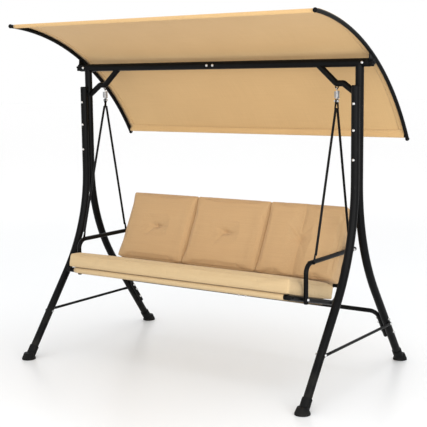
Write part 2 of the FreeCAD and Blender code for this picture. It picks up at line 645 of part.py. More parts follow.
inner = "(crossbar_dia - 2 * tube_wall - 2 * sleeve_fit)"
sleeve = straight_tube("crossbar_sleeve", "crossbar_sleeve_length", inner, "tube_wall")
drill(sleeve, "XZ_Plane", [("-crossbar_bolt_offset", "0"), ("crossbar_bolt_offset", "0")], CLEAR_HOLE)
level_y = CROSS_BOLT_Y.format("crossbar_height")
nodes.append(place(sleeve, "0", level_y, "crossbar_height", (1, 0, 0), "leg_splay"))

seats = []
inner_face = f"({CROSS_X} - crossbar_dia / 2 - bolt_seat)"
for side, sign in SIDES:
    for height in ("crossbar_bolt_high", "crossbar_bolt_low"):
        direction = ALONG_X if sign > 0 else AGAINST_X
        seats.append((f"{sign} * {inner_face}", CROSS_BOLT_Y.format(height), height, direction))
grip = "(leg_dia + weld_gap + crossbar_dia)"
cross_bolts = fasten("crossbar_bolt", grip, seats, stand_nuts)
for i, sign in enumerate((-1, 1), start=1):
    pin_bolt = bolt(f"crossbar_joint_bolt_{i}", "crossbar_dia")
    reach = "(crossbar_dia / 2 + bolt_seat)"
    place(pin_bolt, f"{sign} * crossbar_bolt_offset", f"{level_y} - {reach} * cos(leg_splay)",
          f"crossbar_height - {reach} * sin(leg_splay)", (1, 0, 0), "leg_splay - 90")
    cross_bolts.append(pin_bolt)
    lock = nut(f"crossbar_joint_nut_{i}")
    place(lock, f"{sign} * crossbar_bolt_offset", f"{level_y} + {reach} * cos(leg_splay)",
          f"crossbar_height + {reach} * sin(leg_splay)", (1, 0, 0), "leg_splay - 90")
    stand_nuts.append(lock)
nodes.append(group("crossbar_bolts", cross_bolts))
nodes.append(group("stand_nuts", stand_nuts))


# ---------------------------------------------------------------- suspension: springs and hanger bolts

def spring(side, sign):
    """A closed coil with a round hook at each end, standing on its own Z axis."""
    coil = new_body(f"spring_coil_{side}")
    wire = new_sketch(coil, "XZ_Plane")
    draw_circle(wire, "spring_radius", "-spring_coil / 2", "spring_wire")
    doc.recompute()
    helix = coil.newObject("PartDesign::AdditiveHelix", f"spring_turns_{side}")
    helix.Profile = wire
    helix.ReferenceAxis = (wire, ["V_Axis"])
    helix.Mode = 0
    helix.setExpression("Pitch", formula("spring_pitch"))
    helix.setExpression("Height", formula("spring_coil"))
    coil.Tip = helix
    members = [coil]
    half = "(spring_length / 2)"
    for way in (-1, 1):
        hook = doc.addObject("Part::Torus", f"spring_hook_{side}_{way + 1}")
        hook.setExpression("Radius1", formula("hook_radius"))
        hook.setExpression("Radius2", formula("spring_wire / 2"))
        place(hook, "0", "0", f"{way} * {half}", (0, 1, 0), "90")
        members.append(hook)
        stem = doc.addObject("Part::Cylinder", f"spring_stem_{side}_{way + 1}")
        stem.setExpression("Radius", formula("spring_wire / 2"))
        stem.setExpression("Height", formula(f"{half} - hook_radius - spring_coil / 2"))
        low = "spring_coil / 2" if way > 0 else f"-({half} - hook_radius)"
        place(stem, "0", "0", low)
        members.append(stem)
        arm = doc.addObject("Part::Cylinder", f"spring_arm_{side}_{way + 1}")
        arm.setExpression("Radius", formula("spring_wire / 2"))
        arm.setExpression("Height", formula("spring_radius"))
        aim = "0" if way < 0 else "spring_coil / spring_pitch * 360"
        members.append(spring_arm(arm, way, aim))
    whole = doc.addObject("Part::MultiFuse", f"spring_{side}")
    whole.Shapes = members
    whole.Label = f"spring_{side}"
    return place(whole, f"{sign} * {HANG_X}", REAR_Y, f"({HOOK_Z} - spring_length / 2)")


def spring_arm(arm, way, aim):
    """The last half turn of wire, from the coil to the spring's axis, pointing at the coil's end."""
    level = f"{way} * spring_coil / 2"
    lie = "create(<<rotation>>; create(<<vector>>; 0; 1; 0); 90)"
    swing = f"create(<<rotation>>; create(<<vector>>; 0; 0; 1); {formula(aim)})"
    shift = f"create(<<vector>>; 0; 0; {formula(level)})"
    arm.setExpression("Placement", f"create(<<placement>>; {shift}; {swing} * {lie})")
    return arm


seats = []
for side, sign in SIDES:
    nodes.append(spring(side, sign))
    head = f"({HANG_X} + {TAB_SIDE} + tab_thick / 2 + bolt_seat)"
    direction = AGAINST_X if sign > 0 else ALONG_X
    seats.append((f"{sign} * {head}", REAR_Y, HANGER_Z, direction))
hanger_nuts = []
hanger_bolts = fasten("hanger_bolt", f"(2 * {TAB_SIDE} + tab_thick)", seats, hanger_nuts)
nodes.append(group("hanger_bolts", hanger_bolts + hanger_nuts))


# ---------------------------------------------------------------- seat: hanger rods and armrests

def rod(name, side, sign, foot_y, top_side):
    """A round rod with flattened ends, from its hole on the armrest up to the hanger bolt."""
    run = f"({REAR_Y} - {foot_y})"
    length = f"sqrt({ROD_RISE} ^ 2 + {run} ^ 2)"
    piece = new_body(f"{name}_rod_{side}")
    shaft = new_sketch(piece, "XY_Plane", ROD_TAB)
    draw_circle(shaft, "0", "0", "rod_dia")
    pad(piece, shaft, f"{length} - 2 * {ROD_TAB}")
    ends = (("0", 1, -1), (length, -1, top_side))
    for at, way, shift in ends:
        tab = new_sketch(piece, "YZ_Plane", f"{sign * shift} * {TAB_SIDE}")
        end = f"{at} - {way} * rod_tab_width / 2"
        clip = f"{at} - {way} * rod_tab_width / 4"
        root = f"{at} + {way} * ({ROD_TAB} + rod_dia / 2)"
        half_root = f"rod_dia / 2 * {TAB_ROOT}"
        draw_outline(tab, [("-rod_tab_width / 4", end), ("rod_tab_width / 4", end),
                           ("rod_tab_width / 2", clip), (half_root, root),
                           (f"-{half_root}", root), ("-rod_tab_width / 2", clip)])
        pad(piece, tab, "tab_thick", middle=True)
    drill(piece, "YZ_Plane", [("0", "0"), ("0", length)], CLEAR_HOLE)
    return place(piece, f"{sign} * {HANG_X}", foot_y, ARM_Z, (1, 0, 0), f"-atan2({run}; {ROD_RISE})")


for side, sign in SIDES:
    nodes.append(rod("front", side, sign, ROD_FRONT, -1))
    nodes.append(rod("rear", side, sign, ROD_REAR, 1))
    corners = [(ARM_FRONT, ARM_FOOT_Z), (ARM_FRONT, ARM_Z), (ARM_REAR, ARM_Z)]
    arm = bent_tube(f"armrest_{side}", "YZ_Plane", corners, "arm_bend", "arm_dia", "tube_wall")
    spots = [(ROD_FRONT, ARM_Z), (ROD_REAR, ARM_Z), (ARM_REAR_BOLT, ARM_Z), (ARM_FRONT, ARM_FRONT_BOLT)]
    drill(arm, "YZ_Plane", spots, CLEAR_HOLE)
    nodes.append(place(arm, f"{sign} * {ARM_X}"))

seat_nuts = []
seats = []
for side, sign in SIDES:
    direction = AGAINST_X if sign > 0 else ALONG_X
    for spot in (ROD_FRONT, ROD_REAR):
        head = f"({HANG_X} - {TAB_SIDE} + tab_thick / 2 + bolt_seat)"
        seats.append((f"{sign} * {head}", spot, ARM_Z, direction))
rod_bolts = fasten("rod_bolt", "(arm_dia + side_gap + tab_thick)", seats, seat_nuts)
seats = []
for side, sign in SIDES:
    direction = AGAINST_X if sign > 0 else ALONG_X
    head = f"({ARM_X} + arm_dia / 2 + bolt_seat)"
    seats.append((f"{sign} * {head}", ARM_FRONT, ARM_FRONT_BOLT, direction))
    seats.append((f"{sign} * {head}", ARM_REAR_BOLT, ARM_Z, direction))
arm_bolts = fasten("armrest_bolt", "(arm_dia + side_gap + frame_dia)", seats, seat_nuts)
nodes.append(group("rod_bolts", rod_bolts + seat_nuts[:len(rod_bolts)]))
nodes.append(group("armrest_bolts", arm_bolts + seat_nuts[len(rod_bolts):]))


# ---------------------------------------------------------------- seat: side frames, rails, slings

FRAME_START_Y = "(seat_front - frame_nose * cos(seat_tilt))"
FRAME_START_Z = "(seat_front_height + frame_nose * sin(seat_tilt))"
FRAME_TOP_Y = f"({CORNER_Y} + back_rise * sin(back_lean))"
FRAME_TOP_Z = f"({CORNER_Z} + back_rise * cos(back_lean))"
SEAT_RAIL_Y = f"(seat_front + {SEAT_SPAN} * cos(seat_tilt))"
SEAT_RAIL_Z = f"(seat_front_height - {SEAT_SPAN} * sin(seat_tilt))"
RAILS = (
    ("seat_front_rail", "seat_front", "seat_front_height"),
    ("seat_rear_rail", SEAT_RAIL_Y, SEAT_RAIL_Z),
    ("back_lower_rail", f"({CORNER_Y} + back_rail_low * sin(back_lean))",
     f"({CORNER_Z} + back_rail_low * cos(back_lean))"),
    ("back_top_rail", f"({CORNER_Y} + {BACK_TOP_RAIL} * sin(back_lean))",
     f"({CORNER_Z} + {BACK_TOP_RAIL} * cos(back_lean))"),
)
RAIL_HALF = f"({FRAME_X} - frame_dia / 2 - rail_gap)"

for side, sign in SIDES:
    corners = [(FRAME_START_Y, FRAME_START_Z), (CORNER_Y, CORNER_Z), (FRAME_TOP_Y, FRAME_TOP_Z)]
    frame = bent_tube(f"side_frame_{side}", "YZ_Plane", corners, "frame_bend", "frame_dia", "tube_wall")
    spots = [(y, z) for name, y, z in RAILS]
    spots += [(ARM_REAR_BOLT, ARM_Z), (ARM_FRONT, ARM_FRONT_BOLT)]
    drill(frame, "YZ_Plane", spots, CLEAR_HOLE)
    nodes.append(place(frame, f"{sign} * {FRAME_X}"))

screws = []
for name, y, z in RAILS:
    rail = straight_tube(name, f"2 * {RAIL_HALF}", "frame_dia", "tube_wall")
    nodes.append(place(rail, "0", y, z))
    for side, sign in SIDES:
        screw = bolt(f"{name}_screw_{side}", "frame_dia")
        axis, angle = AGAINST_X if sign > 0 else ALONG_X
        head = f"({FRAME_X} + frame_dia / 2 + bolt_seat)"
        screws.append(place(screw, f"{sign} * {head}", y, z, axis, angle))
nodes.append(group("rail_screws", screws))


def tube_cap(label, diameter, y, z, x, angle):
    """A plastic plug with a low domed head, its axis in the YZ plane."""
    cap = new_body(label)
    inner = f"{diameter} / 2 - tube_wall - sleeve_fit"
    turn(cap, [("0", "-cap_depth / 2"), (inner, "-cap_depth / 2"), (inner, "bolt_seat"),
               (f"{diameter} / 2", "bolt_seat"), (f"{diameter} / 2", f"tube_cap_height * {CAP_SIDE}"),
               (f"{diameter} / 2 * {CAP_TOP}", "tube_cap_height"), ("0", "tube_cap_height")])
    return place(cap, x, y, z, (1, 0, 0), angle)


caps = []
for side, sign in SIDES:
    frame_x = f"{sign} * {FRAME_X}"
    arm_x = f"{sign} * {ARM_X}"
    nose = (FRAME_START_Y, FRAME_START_Z, frame_x)
    caps.append(tube_cap(f"frame_nose_cap_{side}", "frame_dia", *nose, "90 - seat_tilt"))
    top = (FRAME_TOP_Y, FRAME_TOP_Z, frame_x)
    caps.append(tube_cap(f"frame_top_cap_{side}", "frame_dia", *top, "-back_lean"))
    caps.append(tube_cap(f"arm_foot_cap_{side}", "arm_dia", ARM_FRONT, ARM_FOOT_Z, arm_x, "180"))
    caps.append(tube_cap(f"arm_rear_cap_{side}", "arm_dia", ARM_REAR, ARM_Z, arm_x, "-90"))
nodes.append(group("seat_tube_caps", caps))


def sling(label, span, y, z, angle):
    """A fabric sleeve stretched round two parallel rails. The span runs along the local Y axis."""
    inner = "(frame_dia / 2 + sling_fit)"
    piece = doc.addObject("Part::Cut", label)
    piece.Base = racetrack(f"{label}_outer", span, f"({inner} + sling_thick)")
    piece.Tool = racetrack(f"{label}_inner", span, inner)
    piece.Label = label
    return place(piece, "0", y, z, (1, 0, 0), angle)


def racetrack(label, span, radius):
    """A slot-shaped bar along X: two half rounds, joined by flats."""
    body = new_body(label)
    width = f"2 * ({FRAME_X} - sling_inset)"
    flat = new_sketch(body, "YZ_Plane")
    draw_outline(flat, [("0", f"-{radius}"), (span, f"-{radius}"), (span, radius), ("0", radius)])
    pad(body, flat, width, middle=True)
    for at in ("0", span):
        end = new_sketch(body, "YZ_Plane")
        draw_circle(end, at, "0", f"2 * {radius}")
        pad(body, end, width, middle=True)
    return body


nodes.append(sling("seat_sling", SEAT_SPAN, "seat_front", "seat_front_height", "-seat_tilt"))
low_rail = RAILS[2]
back_span = f"({BACK_TOP_RAIL} - back_rail_low)"
nodes.append(sling("back_sling", back_span, low_rail[1], low_rail[2], "90 - back_lean"))


# ---------------------------------------------------------------- cushions

SLING_TOP = "(frame_dia / 2 + sling_fit + sling_thick + cushion_gap)"


def cushion(label, corners, width, x, round_size):
    """A plain closed cushion: an outline in the YZ plane, padded along X, with rounded edges."""
    body = new_body(label)
    outline = new_sketch(body, "YZ_Plane", x)
    draw_outline(outline, corners)
    slab = pad(body, outline, width, middle=True)
    doc.recompute()
    soft = body.newObject("PartDesign::Fillet", label + "_edges")
    soft.Base = (slab, [f"Edge{i + 1}" for i in range(len(slab.Shape.Edges))])
    soft.setExpression("Radius", formula(round_size))
    body.Tip = soft
    return body


low = SLING_TOP
high = f"({SLING_TOP} + seat_pad_thick)"
rear = "(seat_depth - seat_pad_ahead)"
seat_width = f"2 * ({ARM_X} - arm_dia / 2 - seat_pad_side)"
corners = [("-seat_pad_nose", low), (rear, low), (rear, high), ("-seat_pad_nose", high)]
seat_pad = cushion("seat_cushion", corners, seat_width, "0", "seat_pad_round")
nodes.append(place(seat_pad, "0", "seat_front", "seat_front_height", (1, 0, 0), "-seat_tilt"))

# Back cushions in the backrest's own frame: +Z up along the side frame, -Y out of the backrest.
# The seat cushion's top slopes through that frame, and the back cushions' undersides follow it.
OPEN = "(back_lean - seat_tilt)"


def seat_top_at(depth):
    """Height of the seat cushion's top in the backrest's frame, at a depth in front of the backrest."""
    return f"(({high} + pad_meet) / cos({OPEN}) - {depth} * tan({OPEN}))"


near = SLING_TOP
far = f"({SLING_TOP} + back_pad_thick)"
back_top = "(back_rise - back_pad_drop)"
corners = [(f"-{near}", seat_top_at(near)), (f"-{far}", seat_top_at(far)), (f"-{far}", back_top),
           (f"-{near}", back_top)]
outer_edge = f"({ARM_X} - arm_dia / 2 - back_pad_side)"
outer_width = f"({outer_edge} - back_pad_middle / 2 - back_pad_gap / 2)"
outer_x = f"({outer_edge} - {outer_width} / 2)"
PADS = (("left", f"-{outer_x}", outer_width), ("middle", "0", "(back_pad_middle - back_pad_gap)"),
        ("right", outer_x, outer_width))
for side, x, width in PADS:
    back_pad = cushion(f"back_cushion_{side}", corners, width, x, "back_pad_round")
    nodes.append(place(back_pad, "0", CORNER_Y, CORNER_Z, (1, 0, 0), "-back_lean"))


# ---------------------------------------------------------------- canopy

# The canopy's own frame has its origin on the pivot and is level; every piece is turned by the tilt.
ARC_CENTRE = "(canopy_rise - canopy_radius)"


def on_arc(radius, angle):
    """A point on the canopy's curve, at an angle from its middle, positive towards the back."""
    return f"({radius} * sin({angle}))", f"({ARC_CENTRE} + {radius} * cos({angle}))"


def draw_arc(sketch, radius, angle):
    """An arc about the canopy's centre, from +angle at the back to -angle at the front."""
    centre = FreeCAD.Vector(0, number(ARC_CENTRE), 0)
    circle = Part.Circle(centre, FreeCAD.Vector(0, 0, 1), number(radius))
    half = math.radians(number(angle))
    shape = sketch.addGeometry(Part.ArcOfCircle(circle, math.pi / 2 - half, math.pi / 2 + half), False)
    pin(sketch, shape, 3, "0", ARC_CENTRE)
    bind(sketch, Sketcher.Constraint("Radius", shape, number(radius)), radius)
    for end, way in ((1, 1), (2, -1)):
        across = on_arc(radius, f"({way} * {angle})")[0]
        bind(sketch, Sketcher.Constraint("DistanceX", -1, 1, shape, end, number(across)), across)
    return shape


for side, sign in SIDES:
    arc = new_body(f"canopy_arc_{side}")
    route = new_sketch(arc, "YZ_Plane")
    draw_arc(route, "canopy_radius", "canopy_half_angle")
    doc.recompute()
    sweep_ring(arc, route, "arc_dia", "canopy_wall")
    plate = new_sketch(arc, "YZ_Plane")
    top = "(canopy_rise - arc_dia / 2 + canopy_wall / 2)"
    eighth = "plate_round * cos(45)"
    draw_outline(plate, [(f"-{eighth}", f"-{eighth}"), (eighth, f"-{eighth}"), ("plate_round", "0"),
                         ("plate_root", top), ("-plate_root", top), ("-plate_round", "0")])
    pad(arc, plate, "plate_thick", middle=True)
    drill(arc, "YZ_Plane", [("0", "0")], "pivot_dia + 2 * pivot_fit")
    nodes.append(place(arc, f"{sign} * {ARC_X}", REAR_Y, "bar_height", (1, 0, 0), "-canopy_tilt"))

hem_length = f"2 * ({ARC_X} - arc_dia / 2 - weld_gap)"
for name, way in (("front", -1), ("rear", 1)):
    u, v = on_arc("canopy_radius", f"({way} * {HEM_ANGLE})")
    hem = straight_tube(f"canopy_{name}_tube", hem_length, "hem_dia", "canopy_wall", u, v)
    nodes.append(place(hem, "0", REAR_Y, "bar_height", (1, 0, 0), "-canopy_tilt"))

caps = []
for side, sign in SIDES:
    for name, way in (("front", -1), ("rear", 1)):
        cap = new_body(f"arc_cap_{name}_{side}")
        wide = "arc_dia / 2 + arc_cap_wall"
        plug_r = "arc_dia / 2 - canopy_wall - sleeve_fit"
        turn(cap, [("0", "-arc_cap_length"), (plug_r, "-arc_cap_length"), (plug_r, "bolt_seat"),
                   (wide, "bolt_seat"), (wide, f"arc_cap_length * {CAP_SIDE}"),
                   (f"({wide}) * {CAP_TOP}", "arc_cap_length"), ("0", "arc_cap_length")])
        u, v = on_arc("canopy_radius", f"({way} * canopy_half_angle)")
        tilt = "-canopy_tilt"
        y = f"{REAR_Y} + {u} * cos(canopy_tilt) + {v} * sin(canopy_tilt)"
        z = f"bar_height - {u} * sin(canopy_tilt) + {v} * cos(canopy_tilt)"
        angle = f"-canopy_tilt - {way} * (90 + canopy_half_angle)"
        caps.append(place(cap, f"{sign} * {ARC_X}", y, z, (1, 0, 0), angle))
nodes.append(group("arc_end_caps", caps))

# Fabric: one curved sheet over the arcs, with a hem sleeve round each cross tube.
fabric = new_body("canopy_fabric")
sheet = new_sketch(fabric, "YZ_Plane")
under = "(canopy_radius + arc_dia / 2 + fabric_fit)"
over = f"({under} + fabric_thick)"
lower = draw_arc(sheet, under, HEM_ANGLE)
upper = draw_arc(sheet, over, HEM_ANGLE)
for end in (1, 2):
    edge = sheet.addGeometry(Part.LineSegment(sheet.getPoint(lower, end), sheet.getPoint(upper, end)), False)
    sheet.addConstraint(Sketcher.Constraint("Coincident", edge, 1, lower, end))
    sheet.addConstraint(Sketcher.Constraint("Coincident", edge, 2, upper, end))
pad(fabric, sheet, f"2 * ({ARC_X} + arc_dia / 2 + fabric_overhang)", middle=True)
for way in (-1, 1):
    u, v = on_arc("canopy_radius", f"({way} * {HEM_ANGLE})")
    hem = new_sketch(fabric, "YZ_Plane")
    draw_circle(hem, u, v, "hem_dia + 2 * fabric_fit + 2 * fabric_thick")
    draw_circle(hem, u, v, "hem_dia + 2 * fabric_fit")
    pad(fabric, hem, f"2 * ({ARC_X} - arc_dia / 2 - fabric_overhang)", middle=True)
nodes.append(place(fabric, "0", REAR_Y, "bar_height", (1, 0, 0), "-canopy_tilt"))

for side, sign in SIDES:
    knob = new_body(f"clamp_knob_{side}")
    hub = new_sketch(knob, "XY_Plane")
    draw_circle(hub, "0", "0", "2 * knob_hub")
    pad(knob, hub, "knob_thick")
    lobe = new_sketch(knob, "XY_Plane")
    draw_circle(lobe, "knob_hub", "0", "2 * knob_lobe")
    grip_pad = pad(knob, lobe, "knob_thick")
    doc.recompute()
    lobes = knob.newObject("PartDesign::PolarPattern", f"knob_lobes_{side}")
    lobes.Originals = [grip_pad]
    lobes.Axis = (hub, ["N_Axis"])
    lobes.Angle = 360
    lobes.setExpression("Occurrences", formula("knob_lobes"))
    knob.Tip = lobes
    drill(knob, "XY_Plane", [("0", "0")], "pivot_dia + 2 * pivot_fit")
    face = f"({ARC_X} + plate_thick / 2 + pivot_side_gap)"
    nodes.append(place(knob, f"{sign} * {face}", REAR_Y, "bar_height", (0, 1, 0), f"{sign} * 90"))


# ---------------------------------------------------------------- checks and export

doc.recompute()
for thing in doc.Objects:
    if {"Invalid", "Error"} & set(thing.State):
        raise RuntimeError(f"{thing.Label}: {thing.State}")
for piece in nodes:
    if piece.Shape.isNull() or not piece.Shape.isValid():
        raise RuntimeError(piece.Label + ": no valid shape")
for piece in nodes:
    piece.Shape.exportStep(f"parts/{piece.Label}.step")
print(len(nodes), "nodes written")
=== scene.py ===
# %% [markdown]
# # A canopy swing bench
#
# The bench is a black steel stand, a seat that hangs from two springs, and a tilting canopy.
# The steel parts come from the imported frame, already in their true places and in metres.
# This lesson gives them their finishes, and makes everything that is soft: the canopy cloth,
# the two slings and the four cushions. Lengths are in metres and angles in radians.

import json
import math

import bmesh
import bpy
from mathutils import Matrix, Vector
from mathutils.bvhtree import BVHTree


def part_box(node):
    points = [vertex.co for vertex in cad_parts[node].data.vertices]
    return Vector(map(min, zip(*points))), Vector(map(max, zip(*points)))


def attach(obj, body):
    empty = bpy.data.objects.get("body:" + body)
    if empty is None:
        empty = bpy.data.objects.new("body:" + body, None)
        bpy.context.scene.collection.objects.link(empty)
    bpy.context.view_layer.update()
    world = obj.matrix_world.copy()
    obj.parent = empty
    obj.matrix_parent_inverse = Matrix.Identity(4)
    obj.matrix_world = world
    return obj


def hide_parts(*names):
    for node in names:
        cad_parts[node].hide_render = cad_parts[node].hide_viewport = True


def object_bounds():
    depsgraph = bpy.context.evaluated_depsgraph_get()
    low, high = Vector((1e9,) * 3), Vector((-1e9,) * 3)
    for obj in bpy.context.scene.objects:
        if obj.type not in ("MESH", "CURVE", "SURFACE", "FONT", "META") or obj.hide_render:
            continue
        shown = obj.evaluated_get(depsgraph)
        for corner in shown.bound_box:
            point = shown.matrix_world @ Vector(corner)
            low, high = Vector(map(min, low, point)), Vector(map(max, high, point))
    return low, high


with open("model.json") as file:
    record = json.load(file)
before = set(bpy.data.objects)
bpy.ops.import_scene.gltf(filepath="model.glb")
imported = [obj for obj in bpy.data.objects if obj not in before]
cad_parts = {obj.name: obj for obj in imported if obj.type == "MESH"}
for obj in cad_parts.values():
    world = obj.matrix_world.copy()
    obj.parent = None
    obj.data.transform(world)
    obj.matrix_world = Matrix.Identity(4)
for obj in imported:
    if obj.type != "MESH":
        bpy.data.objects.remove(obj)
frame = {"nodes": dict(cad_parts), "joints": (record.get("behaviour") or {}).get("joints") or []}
cad_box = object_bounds()
print("frame:", len(frame["nodes"]), "parts, box", [round(v, 4) for v in cad_box[1] - cad_box[0]])

# %% [markdown]
# ## Lengths that the soft pieces share with the frame
#
# The seat and the backrest lean, so their soft pieces are modelled flat, in axes of their own,
# and are turned into place at the end. A matrix holds each set of axes: its columns are the
# directions, and its last column is the place. The rails give the places.

# %% Axes of the seat and of the backrest
MM = 0.001
SEAT_TILT = math.radians(14)
BACK_LEAN = math.radians(27)
RAIL_DIA = 25 * MM
SEAT_DEPTH = 455 * MM


def middle(node):
    """The middle of a part of the frame."""
    low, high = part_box(node)
    return (low + high) / 2


def clamp(value, low, high):
    return max(min(value, high), low)


seat_axes = Matrix.Translation(middle("seat_front_rail")) @ Matrix.Rotation(-SEAT_TILT, 4, "X")
corner = seat_axes @ Vector((0, SEAT_DEPTH, 0))
back_axes = Matrix.Translation(corner) @ Matrix.Rotation(-BACK_LEAN, 4, "X")
print("corner of the seat frame:", [round(v, 4) for v in corner])

# %% [markdown]
# ## Shader maths
#
# A material is a graph of nodes. Written one node at a time it is long and hard to read, so two
# small classes help. `Finish` adds any node with one method. `Value` wraps a node's output, and
# its operators add Math nodes, so `height * 0.5 + grain` reads as the sum that it is.


# %% Value and Finish
class Value:
    """A node's output that can be used in a sum."""

    def __init__(self, finish, socket):
        self.finish = finish
        self.socket = socket

    def math(self, operation, *others):
        return self.finish.sum(operation, self, *others)

    def __add__(self, other):
        return self.math("ADD", other)

    def __sub__(self, other):
        return self.math("SUBTRACT", other)

    def __mul__(self, other):
        return self.math("MULTIPLY", other)

    def __rsub__(self, other):
        return self.finish.sum("SUBTRACT", other, self)

    __radd__ = __add__


class Finish:
    """One material and its nodes."""

    def __init__(self, name):
        self.material = bpy.data.materials.new(name)
        self.material.use_nodes = True
        self.tree = self.material.node_tree
        self.tree.nodes.clear()

    def add(self, kind, sockets, out=0, **settings):
        """Adds a node: its settings first, then the values or links of its sockets."""
        node = self.tree.nodes.new(kind)
        for name, value in settings.items():
            setattr(node, name, value)
        for name, value in sockets.items():
            if isinstance(value, Value):
                self.tree.links.new(value.socket, node.inputs[name])
            else:
                node.inputs[name].default_value = value
        return Value(self, node.outputs[out]) if node.outputs else None

    def sum(self, operation, *terms):
        return self.add("ShaderNodeMath", dict(enumerate(terms)), operation=operation)

    def noise(self, where, scale, detail=2.0):
        sockets = {"Vector": where, "Scale": scale, "Detail": detail}
        return self.add("ShaderNodeTexNoise", sockets, out="Fac")

    def step(self, value, low, high):
        """0 below low and 1 above high, with a soft change between them."""
        sockets = {"Value": value, "From Min": low, "From Max": high}
        return self.add("ShaderNodeMapRange", sockets, interpolation_type="SMOOTHSTEP")

    def colour(self, share, first, second):
        """The first colour where share is 0, and the second where it is 1."""
        sockets = {0: share, 6: rgba(first), 7: rgba(second)}
        return self.add("ShaderNodeMix", sockets, out=2, data_type="RGBA")

    def place(self, kind="Object", stretch=(1, 1, 1), lean=0):
        """Object coordinates in metres, or the piece's own UV map, turned or stretched."""
        source = self.add("ShaderNodeTexCoord", {}, out=kind)
        if stretch == (1, 1, 1) and lean == 0:
            return source
        sockets = {"Vector": source, "Rotation": (lean, 0, 0), "Scale": stretch}
        return self.add("ShaderNodeMapping", sockets)

    def parts(self, where):
        split = self.add("ShaderNodeSeparateXYZ", {"Vector": where})
        outputs = split.socket.node.outputs
        return [Value(self, outputs[axis]) for axis in "XYZ"]

    def surface(self, height, deep, **sockets):
        """The shader: a relief of that height, deep metres from top to bottom."""
        relief = {"Height": height, "Distance": deep, "Strength": 1.0}
        sockets = {name.replace("_", " "): value for name, value in sockets.items()}
        sockets["Normal"] = self.add("ShaderNodeBump", relief)
        shader = self.add("ShaderNodeBsdfPrincipled", sockets)
        self.add("ShaderNodeOutputMaterial", {"Surface": shader})
        return self.material


def rgba(colour):
    """A colour as a socket takes it. A link is left as it is."""
    return colour if isinstance(colour, Value) else (*colour, 1.0)


print("shader helpers are ready")

# %% [markdown]
# ## Powder-coated steel
#
# The stand is steel tube with a black powder coat, baked on. It isn't smooth: the powder flows
# into shallow dimples about a millimetre across, called orange peel, which break up the
# highlights. Use leaves dull scuffs, and the lower tubes collect a little dust.

# %% Powder coat
DUST_HEIGHT = 0.34
GRAIN_DEEP = 0.12 * MM


def make_powder_coat():
    paint = Finish("powder_coat_black")
    where = paint.place()
    height = paint.parts(where)[2]
    peel = paint.noise(where, 850, 2)
    cloud = paint.noise(where, 14, 4)
    scuff = paint.step(paint.noise(paint.place(stretch=(1, 1, 0.25)), 120, 5), 0.64, 0.74)
    low = 1 - paint.step(height, 0.02, DUST_HEIGHT)
    dust = low * paint.step(cloud, 0.35, 0.75) * 0.35
    black = paint.colour(cloud, (0.0020, 0.0020, 0.0022), (0.0045, 0.0045, 0.0048))
    worn = paint.colour(scuff * 0.5, black, (0.018, 0.018, 0.019))
    dusty = paint.colour(dust, worn, (0.040, 0.036, 0.030))
    rough = 0.30 + cloud * 0.10 + scuff * 0.14 + dust * 0.4
    return paint.surface(
        peel + scuff * 0.4, GRAIN_DEEP, Base_Color=dusty, Roughness=rough, Specular_IOR_Level=0.08
    )


powder_coat = make_powder_coat()
print("made", powder_coat.name)

# %% [markdown]
# ## Moulded plastic, zinc and spring steel
#
# The feet, caps and knobs are moulded in black plastic with a fine etched grain, rather duller
# than the paint. The bolts have a thin zinc coat, which is bright with a faint cloudy bloom.
# The springs are drawn wire: the die leaves fine lines along it.

# %% Plastic and zinc
FOOT_DUST_HEIGHT = 0.09
WIRE_LINE_DEEP = 0.03 * MM


def make_plastic():
    plastic = Finish("moulded_plastic_black")
    where = plastic.place()
    grain = plastic.noise(where, 1900, 3)
    cloud = plastic.noise(where, 30, 3)
    low = 1 - plastic.step(plastic.parts(where)[2], 0.0, FOOT_DUST_HEIGHT)
    dust = low * plastic.step(cloud, 0.3, 0.8) * 0.4
    black = plastic.colour(cloud, (0.0025, 0.0025, 0.0026), (0.0050, 0.0050, 0.0054))
    dusty = plastic.colour(dust, black, (0.030, 0.027, 0.023))
    rough = 0.50 + grain * 0.16 + dust * 0.3
    return plastic.surface(
        grain, GRAIN_DEEP, Base_Color=dusty, Roughness=rough, Specular_IOR_Level=0.1
    )


def make_metal(name, pale, dark, rough_from, rough_by, stretch):
    metal = Finish(name)
    where = metal.place()
    bloom = metal.noise(where, 160, 4)
    lines = metal.noise(metal.place(stretch=stretch), 1400, 2)
    colour = metal.colour(bloom, pale, dark)
    rough = rough_from + bloom * rough_by + lines * 0.08
    return metal.surface(
        lines + bloom * 0.5, WIRE_LINE_DEEP, Base_Color=colour, Roughness=rough, Metallic=1.0
    )


plastic = make_plastic()
zinc = make_metal("zinc_plate", (0.74, 0.74, 0.73), (0.55, 0.55, 0.56), 0.20, 0.16, (1, 1, 1))
spring_wire = make_metal(
    "spring_wire", (0.66, 0.67, 0.68), (0.46, 0.47, 0.49), 0.18, 0.14, (0.15, 1, 1)
)
print("made", plastic.name, zinc.name, spring_wire.name)

# %% [markdown]
# ## Fabrics
#
# All the cloth is woven polyester, in three tones: tan for the canopy, cream for the seat and
# the slings, and beige for the back cushions. The canopy's tan is brighter than the others: partly
# its own tone, and partly painted light, which brightens its shaded underside. A weave is made of
# two sine waves that cross: where both are high a warp thread is on top, and where both are low a
# weft thread is. Each thread is a little thicker and darker or paler than the next, which noise
# that is stretched along the threads gives. The sheets read their own UV map, in metres, so that
# the threads follow the cloth. The cushions read object coordinates, turned by their lean.

# %% Fabric
BEIGE_PALE = (0.590, 0.392, 0.205)
BEIGE_DARK = (0.475, 0.300, 0.148)
CREAM_PALE = (0.600, 0.445, 0.252)
CREAM_DARK = (0.485, 0.345, 0.184)
# The canopy's colours are partly its own tan and partly painted light: they are brighter than the
# other cloth, to brighten the canopy's shaded underside.
CANOPY_TONE_AND_PAINTED_LIGHT_PALE = (0.660, 0.440, 0.208)
CANOPY_TONE_AND_PAINTED_LIGHT_DARK = (0.540, 0.345, 0.155)
TAU = 2 * math.pi


